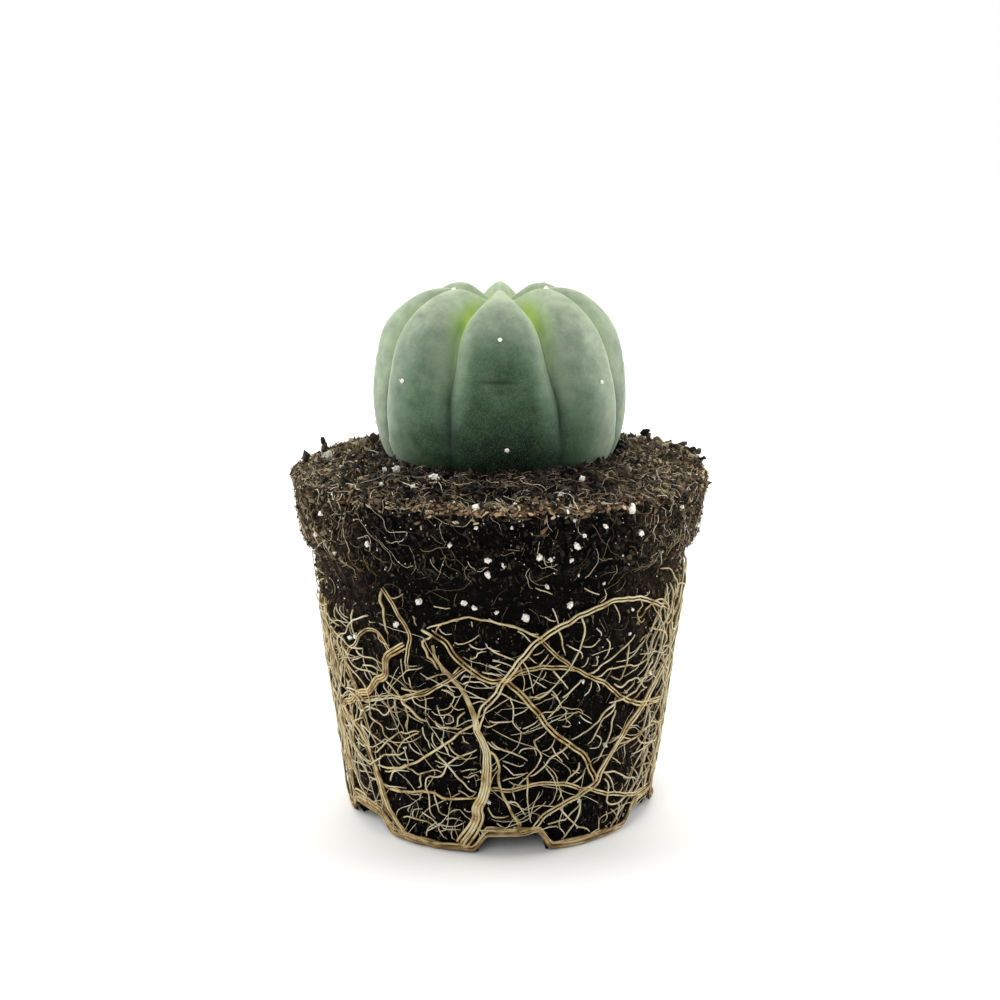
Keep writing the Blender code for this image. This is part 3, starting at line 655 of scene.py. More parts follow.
for degrees, height, radius in WALL_GRAINS:
    spot, facing = on_mix(degrees, height=height * MM)
    add_grain(spot + facing * WALL_PROUD * radius * MM, GRAIN_GIRTH * radius * MM)
for degrees, distance, radius in TOP_GRAINS:
    spot, _ = on_mix(degrees, radius=distance * MM)
    add_grain(spot + Vector((0.0, 0.0, TOP_PROUD * radius * MM)), GRAIN_GIRTH * radius * MM)
for zone, number in STREWN:
    for _, spot, facing in scattered(draw, number, zone):
        size = STREWN_GRAIN[0] + (STREWN_GRAIN[1] - STREWN_GRAIN[0]) * draw.random() ** 2
        add_grain(spot + facing * WALL_PROUD * size, size)
for zone, number in DUST:
    for _, spot, facing in scattered(draw, number, zone):
        add_grain(spot + facing * DUST_PROUD, draw.uniform(*DUST_GRAIN), dusty=True)
perlite = copies("perlite_grains", grain_shapes + dust_shapes, grain_places)

# Expanded perlite: chalk white, matt, full of burst bubbles, greyer in their hollows.
chalk, shader = new_material("expanded_perlite", Roughness=0.9, Specular_IOR_Level=0.3)
surface = add_node(chalk, "TexCoord").outputs["Object"]
bubbles = add_node(chalk, "TexVoronoi", {"Vector": surface, "Scale": 1 / (0.45 * MM)})
ramp = add_node(chalk, "ValToRGB", {"Fac": bubbles.outputs["Distance"]},
                stops=((0.0, "#7D7869"), (0.3, "#C4C0B2"), (0.6, "#E6E3D8")))
link(chalk, ramp, shader.inputs["Base Color"])
bump = add_node(chalk, "Bump", {"Height": bubbles.outputs["Distance"], "Strength": 0.6, "Distance": 0.2 * MM})
link(chalk, bump, shader.inputs["Normal"])
dress(perlite, chalk)

# Peat fibres, bark slivers and dead root hairs: thin, dry and tangled. They cover the rim and the edge of the top,
# where the slivers are reddish and coarse, and thin out towards the black middle of the front and down the wall.
FIBRE_STEP = 0.8 * MM
FRONT_BARE = 40.0  # degrees either side of the front where the rim's side has few fibres
FIBRE_KINDS = (  # zone, number, smallest and largest radius, shortest and longest length in mm, palest age, pull down
    ("rim", 1600, 0.06, 0.14, 2.0, 8.0, 1.0, 1.0),
    ("edge", 800, 0.07, 0.16, 1.5, 6.0, 1.0, 0.0),
    ("wall", 1150, 0.05, 0.11, 1.5, 6.0, 0.9, 0.5),
    ("hair on rim", 170, 0.07, 0.14, 6.0, 16.0, 1.3, 0.6),
    ("top", 1800, 0.05, 0.13, 1.5, 6.0, 0.95, 0.0),
    ("foot", 650, 0.04, 0.09, 1.0, 3.5, 1.0, 0.0),
    ("hair on top", 170, 0.08, 0.15, 7.0, 20.0, 1.3, 0.0),
)
SIDE_KINDS = 4  # how many of them, from the first, are on the rim, its edge and the wall
ZONE_OF_KIND = {"edge": "top", "hair on top": "top", "hair on rim": "rim"}
EDGE_BAND = (0.2, 6.0)  # mm in from the edge between which the fibres of the edge lie
FOOT_SPREAD = 8.0  # mm out from the stem over which those at its foot are spread
LEFT_OUT = 0.75  # share of the rim's fibres that are missing in front
LOOSEST = {"wall": 0.45, "loose": 0.95}  # mm that a fibre lies off the mix at most
FIBRE_LOW = 0.3 * MM  # how far down they go
FIBRE_BEND = (0.02, 0.35)  # by how much they turn at each step, as a share of the step
FIBRE_UNREST = 0.2  # the spread of what comes to that at random
SHORT_FIBRE = 4.0  # mm, up to which they turn as much as that


def unit(vectors):
    """The vectors, one in each row, made 1 long."""
    return vectors / np.maximum(np.linalg.norm(vectors, axis=1), 1e-9)[:, None]


def swept(name, strands, sides):
    """Tubes with pointed ends in one piece; a strand is its points, its radius at each of them and its age."""
    turns = np.linspace(0.0, math.tau, sides, endpoint=False)
    round_it = np.stack([np.cos(turns), np.sin(turns)], axis=1)
    corners, quads, tips, sections, ages = [], [], [], [], []
    start = 0
    for points, radii, age in strands:
        along = unit(np.gradient(points, axis=0))
        side = unit(np.cross(along, unit(points * (1.0, 1.0, 0.02))))
        up = np.cross(side, along)
        rings = points[:, None] + radii[:, None, None] * (round_it[None, :, :1] * up[:, None]
                                                          + round_it[None, :, 1:] * side[:, None])
        count = len(points)
        lengths = np.concatenate([[0.0], np.cumsum(np.linalg.norm(np.diff(points, axis=0), axis=1))]) / MM
        ends = np.stack([points[0] - along[0] * radii[0], points[-1] + along[-1] * radii[-1]])
        corners += [rings.reshape(-1, 3), ends]
        section = np.concatenate([np.broadcast_to(round_it, (count, sides, 2)),
                                  np.broadcast_to(lengths[:, None, None], (count, sides, 1))], axis=2)
        sections += [section.reshape(-1, 3), np.array([[1.0, 0.0, 0.0], [1.0, 0.0, lengths[-1]]])]
        ages.append(np.full(count * sides + 2, age))
        here = start + np.arange(count * sides).reshape(count, sides)
        there = np.roll(here, -1, axis=1)
        quads.append(np.stack([here[:-1], there[:-1], there[1:], here[1:]], axis=-1).reshape(-1, 4))
        first, last = start + count * sides, start + count * sides + 1
        tips.append(np.stack([np.full(sides, first), there[0], here[0]], axis=-1))
        tips.append(np.stack([np.full(sides, last), here[-1], there[-1]], axis=-1))
        start += count * sides + 2
    return new_piece(name, np.concatenate(corners), [np.concatenate(quads), np.concatenate(tips)],
                     {"section": np.concatenate(sections), "age": np.concatenate(ages)}, True)


def creeping(spot, facing, length, pull, lift, draw):
    """Points of a fibre that creeps over the mix from a spot, close to its surface all the way."""
    heading = Vector([draw.gauss(0.0, 1.0) for _ in range(3)]) - Vector((0.0, 0.0, 2.0 * pull))
    bend = Vector([draw.gauss(0.0, 1.0) for _ in range(3)]) * draw.uniform(*FIBRE_BEND) * min(1.0, SHORT_FIBRE / length)
    points = []
    for step in range(max(2, round(length * MM / FIBRE_STEP)) + 1):
        points.append(spot + facing * lift)
        heading = heading + bend + Vector([draw.gauss(0.0, FIBRE_UNREST) for _ in range(3)])
        heading = (heading - facing * heading.dot(facing)).normalized()
        spot, facing, _, _ = mix_surface.find_nearest(spot + heading * FIBRE_STEP)
    points = np.array(points)
    points[1:-1] = 0.25 * points[:-2] + 0.5 * points[1:-1] + 0.25 * points[2:]
    return points


draw = random.Random(33)
fibres_of_kinds = []
for kind, number, thin, stout, short, long, palest, pull in FIBRE_KINDS:
    fibres = []
    zone = ZONE_OF_KIND.get(kind, kind)
    for degrees, spot, facing in scattered(draw, number, zone):
        if kind == "edge":
            spot, facing = on_mix(degrees, radius=RIM_TOP_RADIUS - draw.uniform(*EDGE_BAND) * MM)
        elif kind == "foot":
            spot, facing = on_mix(degrees, radius=HOLE_RADIUS + abs(draw.gauss(0.0, FOOT_SPREAD)) * MM)
        front = abs((degrees + 180.0) % 360.0 - 180.0) < FRONT_BARE
        if spot is None or (front and zone == "rim" and draw.random() < LEFT_OUT):
            continue
        lift = draw.uniform(0.0, LOOSEST["wall" if zone == "wall" else "loose"]) * MM
        points = creeping(spot, facing, draw.uniform(short, long), pull, lift, draw)
        points[:, 2] = np.maximum(points[:, 2], FIBRE_LOW)
        radius = (thin + (stout - thin) * draw.random() ** 2) * MM
        fibres.append((points, np.linspace(radius, 0.5 * radius, len(points)), min(1.0, palest * draw.random())))
    fibres_of_kinds.append(fibres)
side_fibres = swept("side_fibres", sum(fibres_of_kinds[:SIDE_KINDS], []), 3)
top_fibres = swept("top_fibres", sum(fibres_of_kinds[SIDE_KINDS:], []), 3)

# Dry peat fibre: matt, each thread of one colour, from dark brown through rust and straw to a pale grey.
fibre_stuff, shader = new_material("dry_peat_fibre", Roughness=0.85, Specular_IOR_Level=0.3)
coloured_by(fibre_stuff, shader, "age", ((0.0, "#1A1511"), (0.3, "#3C3125"), (0.5, "#66513A"), (0.68, "#857553"),
                                         (0.85, "#AB9F80"), (1.0, "#D3CBB4")))
dress(side_fibres, fibre_stuff)
dress(top_fibres, fibre_stuff)

# The thick roots: living roots that ran down the inside of the pot's wall and lie pressed flat against where it was.
# Most are bundles of two to four strands with dark seams between them, which fan out at their ends.
ROUTE_STEP = 1.0 * MM
STRAND_SHARE = (0.8, 0.43, 0.32, 0.245)  # radius of each strand over the bundle's, for one to four strands
# Radius in mm at the start and at the end, then azimuth in degrees and height in mm along the wall
ROOT_ROUTES = (
    (0.65, 0.65, ((-20, 55), (-16, 53), (-12, 49), (-7, 46), (-2, 44), (2, 44), (6, 41), (12, 36), (16, 31),
                  (23, 27), (28, 24), (31, 20), (34, 16))),
    (0.38, 1.85, ((-20, 52), (-18, 48), (-15, 45), (-11, 41), (-8, 36), (-7, 32), (-5, 28), (-4, 24), (-4, 20),
                  (-5, 16), (-7, 13), (-8, 9), (-13, 3))),
    (0.5, 0.75, ((64, 54), (51, 58), (45, 60), (35, 61), (28, 60), (21, 58), (14, 55), (10, 53), (7, 50), (4, 47),
                 (1, 44), (-1, 41), (-5, 37), (-7, 32))),
    (0.4, 0.75, ((11, 54), (16, 50), (21, 47), (27, 44), (34, 41), (40, 37), (47, 34), (56, 32), (73, 30))),
    (0.5, 0.5, ((0, 43), (5, 46), (11, 47), (17, 47), (23, 46))),
    (1.0, 0.8, ((-29, 51), (-33, 49), (-36, 47), (-37, 43), (-42, 40), (-45, 37), (-50, 36), (-56, 33), (-66, 29))),
    (0.4, 0.5, ((-34, 48), (-39, 53), (-45, 52), (-50, 48), (-56, 44), (-55, 40), (-51, 35))),
    (0.9, 1.0, ((-67, 31), (-61, 28), (-54, 26), (-50, 23), (-48, 19), (-45, 14), (-44, 10), (-41, 6), (-36, 2.5))),
    (0.6, 0.8, ((11, 6), (16, 10), (22, 12), (29, 14), (34, 16), (36, 19), (41, 24), (46, 28), (53, 32), (62, 38),
                (71, 41))),
    (0.45, 0.5, ((-5, 17), (4, 17), (11, 18), (18, 18), (26, 16), (37, 13), (48, 10), (62, 8), (74, 7))),
    (0.45, 0.45, ((-5, 28), (-1, 25), (0, 18), (2, 14), (5, 10), (7, 6))),
    (0.5, 0.4, ((-57, 33), (-46, 35), (-38, 37), (-30, 38), (-23, 40), (-17, 43), (-10, 47))),
    (0.5, 0.4, ((-35, 64), (-32, 61), (-30, 58), (-27, 54), (-28, 50), (-29, 45))),
    (0.3, 0.35, ((-21, 56), (-11, 59), (-5, 59), (0, 58), (5, 57), (12, 54))),
    (0.35, 0.4, ((-47, 18), (-38, 19), (-29, 22), (-23, 25), (-17, 28), (-11, 32), (-7, 34))),
    (0.45, 0.4, ((-45, 14), (-40, 13), (-31, 14), (-23, 15), (-18, 14), (-5, 15))),
    (0.7, 0.8, ((66, 55), (67, 48), (71, 40), (71, 33), (75, 24), (74, 17), (73, 11), (75, 2.5))),
    (0.8, 0.9, ((-67, 56), (-69, 47), (-67, 41), (-65, 34), (-66, 27), (-66, 20), (-66, 11), (-68, 4))),
    (0.7, 0.7, ((92, 58), (90, 50), (94, 41), (90, 31), (93, 22), (97, 13), (100, 6))),
    (0.7, 0.7, ((-92, 60), (-95, 51), (-91, 42), (-94, 33), (-90, 24), (-88, 15), (-90, 2.5))),
    (0.6, 0.5, ((-68, 46), (-80, 41), (-93, 39), (-106, 42), (-118, 38))),
    (0.6, 0.5, ((70, 36), (82, 39), (92, 35), (104, 33), (118, 37))),
)
NOTCH_EDGE = 11.4  # degrees from the middle of a notch to where the roots have climbed half way up its side
NOTCH_SLOPE = 3.2  # degrees to either side of there in which they climb
BACK_ROOTS = (0, 1, 2, 3, 4, 5, 7, 8, 9, 10)  # routes that are repeated round the back
BACK_FOOT = 2.5  # mm, the height from which they are made shorter
BACK_SHORTENING = 0.95
TWO_STRANDS, THREE_STRANDS, FOUR_STRANDS = 0.48, 0.82, 1.2  # mm that a bundle is wide at least
OVER_NOTCH = 0.2 * MM  # how far above a notch its roots run
SWAY = 0.3 * MM  # how far a bundle strays from its route
THICKENING = 1.4  # the power by which it goes from its first width to its last
POINTED = 0.35  # how much thinner it is at its ends
SPREAD, FAN = 0.68, 0.45  # how far its strands lie apart, and how much farther at its ends
END_SHARPNESS = 6  # the power by which that is kept to the ends


def eased(points, step):
    """Even places along a smooth curve through a route's points, all as (azimuth, height in metres)."""
    held = np.array([(degrees, height * MM) for degrees, height in points])
    held = np.concatenate([2 * held[:1] - held[1:2], held, 2 * held[-1:] - held[-2:-1]])
    dense = []
    for a, b, c, d in zip(held, held[1:], held[2:], held[3:]):
        for t in np.linspace(0.0, 1.0, 12, endpoint=False):
            dense.append(0.5 * (2 * b + (c - a) * t + (2 * a - 5 * b + 4 * c - d) * t**2
                                + (3 * b - a - 3 * c + d) * t**3))
    dense = np.array(dense + [held[-2]])
    flat = np.stack([np.radians(dense[:, 0]) * wall_radius(dense[:, 1]), dense[:, 1]], axis=1)
    lengths = np.concatenate([[0.0], np.cumsum(np.linalg.norm(np.diff(flat, axis=0), axis=1))])
    goals = spaced(0.0, lengths[-1], step)
    return np.stack([np.interp(goals, lengths, dense[:, column]) for column in (0, 1)], axis=1)


def on_wall_at(places, lift):
    """Points over the wall at places of (azimuth, height), lifted off it by a distance for each."""
    angles = np.radians(places[:, 0])
    radii = wall_radius(places[:, 1]) + lift
    return np.stack([radii * np.sin(angles), -radii * np.cos(angles), places[:, 1]], axis=1)


def notch_lift(degrees):
    """How far up the notches' sides a root is at an azimuth: 1 over a notch and 0 between two."""
    apart = 360.0 / NOTCH_COUNT
    off = np.abs((degrees - NOTCH_FIRST + 0.5 * apart) % apart - 0.5 * apart)
    climbed = np.clip((NOTCH_EDGE + NOTCH_SLOPE - off) / (2 * NOTCH_SLOPE), 0.0, 1.0)
    return climbed**2 * (3.0 - 2.0 * climbed)


def kept_up(places, thick):
    """Places raised where they would hang over a notch or go below the base."""
    lowest = notch_lift(places[:, 0]) * (NOTCH_HEIGHT + OVER_NOTCH) + thick + 0.1 * MM
    return np.stack([places[:, 0], np.maximum(places[:, 1], lowest)], axis=1)


def slow_noise(count, pace, seed):
    """Smooth random numbers from -1 to 1, one for each step."""
    return np.array([noise.noise(Vector((place * pace, seed, 0.5 * seed))) for place in range(count)]) * 1.6


def bundle(first, last, points, draw):
    """The strands of one thick root, which is first wide at its start and last wide at its end."""
    places = eased(points, ROUTE_STEP)
    count = len(places)
    share = np.linspace(0.0, 1.0, count)
    widest = max(first, last)
    number = 1 + sum(widest >= width for width in (TWO_STRANDS, THREE_STRANDS, FOUR_STRANDS))
    seed = draw.uniform(0.0, 500.0)
    places[:, 0] += np.degrees(SWAY * slow_noise(count, 0.35, seed) / wall_radius(places[:, 1]))
    places[:, 1] += SWAY * slow_noise(count, 0.35, seed + 7.0)
    at_ends = np.abs(2 * share - 1) ** END_SHARPNESS
    half = MM * (first + (last - first) * share**THICKENING) * (1.0 - POINTED * at_ends)
    flat = np.stack([np.radians(places[:, 0]) * wall_radius(places[:, 1]), places[:, 1]], axis=1)
    along = unit(np.gradient(flat, axis=0))
    across = np.stack([-along[:, 1], along[:, 0]], axis=1)
    made = []
    for strand in range(number):
        slot = 2 * strand / max(number - 1, 1) - 1 if number > 1 else 0.0
        sway = 0.35 * slow_noise(count, 0.1, seed + 20 * strand) / number
        aside = (slot + sway) * half * (SPREAD + FAN * at_ends)
        lift = half * (0.3 + 0.22 * slow_noise(count, 0.13, seed + 13 * strand)) + 0.2 * MM
        moved = flat + across * aside[:, None]
        own = np.stack([np.degrees(moved[:, 0] / wall_radius(moved[:, 1])), moved[:, 1]], axis=1)
        thick = half * STRAND_SHARE[number - 1] * (1.0 + 0.14 * slow_noise(count, 0.5, seed + 31 * strand))
        made.append((on_wall_at(kept_up(own, thick), lift), thick, draw.uniform(0.45, 1.0)))
    return made


draw = random.Random(34)
thick_strands = []
for number, (first, last, points) in enumerate(ROOT_ROUTES):
    thick_strands += bundle(first, last, points, draw)
    if number in BACK_ROOTS:
        behind = [(180 - degrees, BACK_FOOT + (height - BACK_FOOT) * BACK_SHORTENING) for degrees, height in points]
        thick_strands += bundle(first, last, behind, draw)
thick_roots = swept("thick_roots", thick_strands, 9)

# Living root bark: cream where it is young, tan and then brown with age, darker on its flanks and underside with
# painted shade, with dark blotches of dirt and fine seams along it. The pattern follows each strand through its own
# section.
root_skin, shader = new_material("living_root_bark", Roughness=0.55, Specular_IOR_Level=0.2)
age = add_node(root_skin, "Attribute", attribute_name="age").outputs["Fac"]
section = add_node(root_skin, "Attribute", attribute_name="section").outputs["Vector"]
stretched = add_node(root_skin, "VectorMath", {0: section, 1: (2.6, 2.6, 0.16)}, operation="MULTIPLY")
surface = add_node(root_skin, "TexCoord").outputs["Object"]
seams = add_node(root_skin, "TexNoise", {"Vector": stretched, "Scale": 1.0, "Detail": 4.0})
blotches = add_node(root_skin, "TexNoise", {"Vector": surface, "Scale": 1 / (2.5 * MM), "Detail": 3.0})
change = add_node(root_skin, "MapRange", {"Value": blotches, "From Min": 0.3, "From Max": 0.7,
                                          "To Min": -0.35, "To Max": 0.3})
tone = add_node(root_skin, "Math", {0: age, 1: change}, operation="ADD")
bark_colour = add_node(root_skin, "ValToRGB", {"Fac": tone},
                       stops=((0.0, "#D8D1B9"), (0.4, "#CFC199"), (0.75, "#C1AA75"), (1.0, "#8C7144")))
split = add_node(root_skin, "SeparateXYZ", {0: section})
# Painted shade: each strand is darker on its flanks and on the side against the mix, more so when it is older.
painted_flank_shade = add_node(root_skin, "MapRange", {"Value": split.outputs["X"], "From Min": 0.15, "From Max": 0.95,
                                         "To Min": 1.0, "To Max": 0.0})
weight = add_node(root_skin, "MapRange", {"Value": age, "From Min": 0.2, "From Max": 0.8,
                                          "To Min": 0.3, "To Max": 1.0})
painted_flank_shade = add_node(root_skin, "Math", {0: painted_flank_shade, 1: weight}, operation="MULTIPLY")
seam_line = add_node(root_skin, "MapRange", {"Value": seams, "From Min": 0.38, "From Max": 0.47,
                                             "To Min": 0.55, "To Max": 0.0})
dirt = add_node(root_skin, "MapRange", {"Value": blotches, "From Min": 0.5, "From Max": 0.75,
                                        "To Min": 0.0, "To Max": 0.6})
stain_and_shade = add_node(root_skin, "Math", {0: painted_flank_shade, 1: seam_line}, operation="MAXIMUM")
stain_and_shade = add_node(root_skin, "Math", {0: stain_and_shade, 1: dirt}, operation="MAXIMUM")
stained_and_shaded = add_node(root_skin, "Mix", {"Factor": stain_and_shade, "A": bark_colour, "B": linear("#302112")}, data_type="RGBA")
link(root_skin, stained_and_shaded.outputs["Result"], shader.inputs["Base Color"])
bump = add_node(root_skin, "Bump", {"Height": seams, "Strength": 0.5, "Distance": 0.2 * MM})
link(root_skin, bump, shader.inputs["Normal"])
dress(thick_roots, root_skin)
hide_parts("root_net")

# The fine roots: this year's growth, about half a millimetre thick, cream and springy. They leave the thick ones or
# come out of the mix, cross over each other, kink where they met the pot and go back in. Those in front run as on
# the plant, the back has them mirrored, and the sides have more that hang down in mats.
FINE_STEP = 1.0 * MM
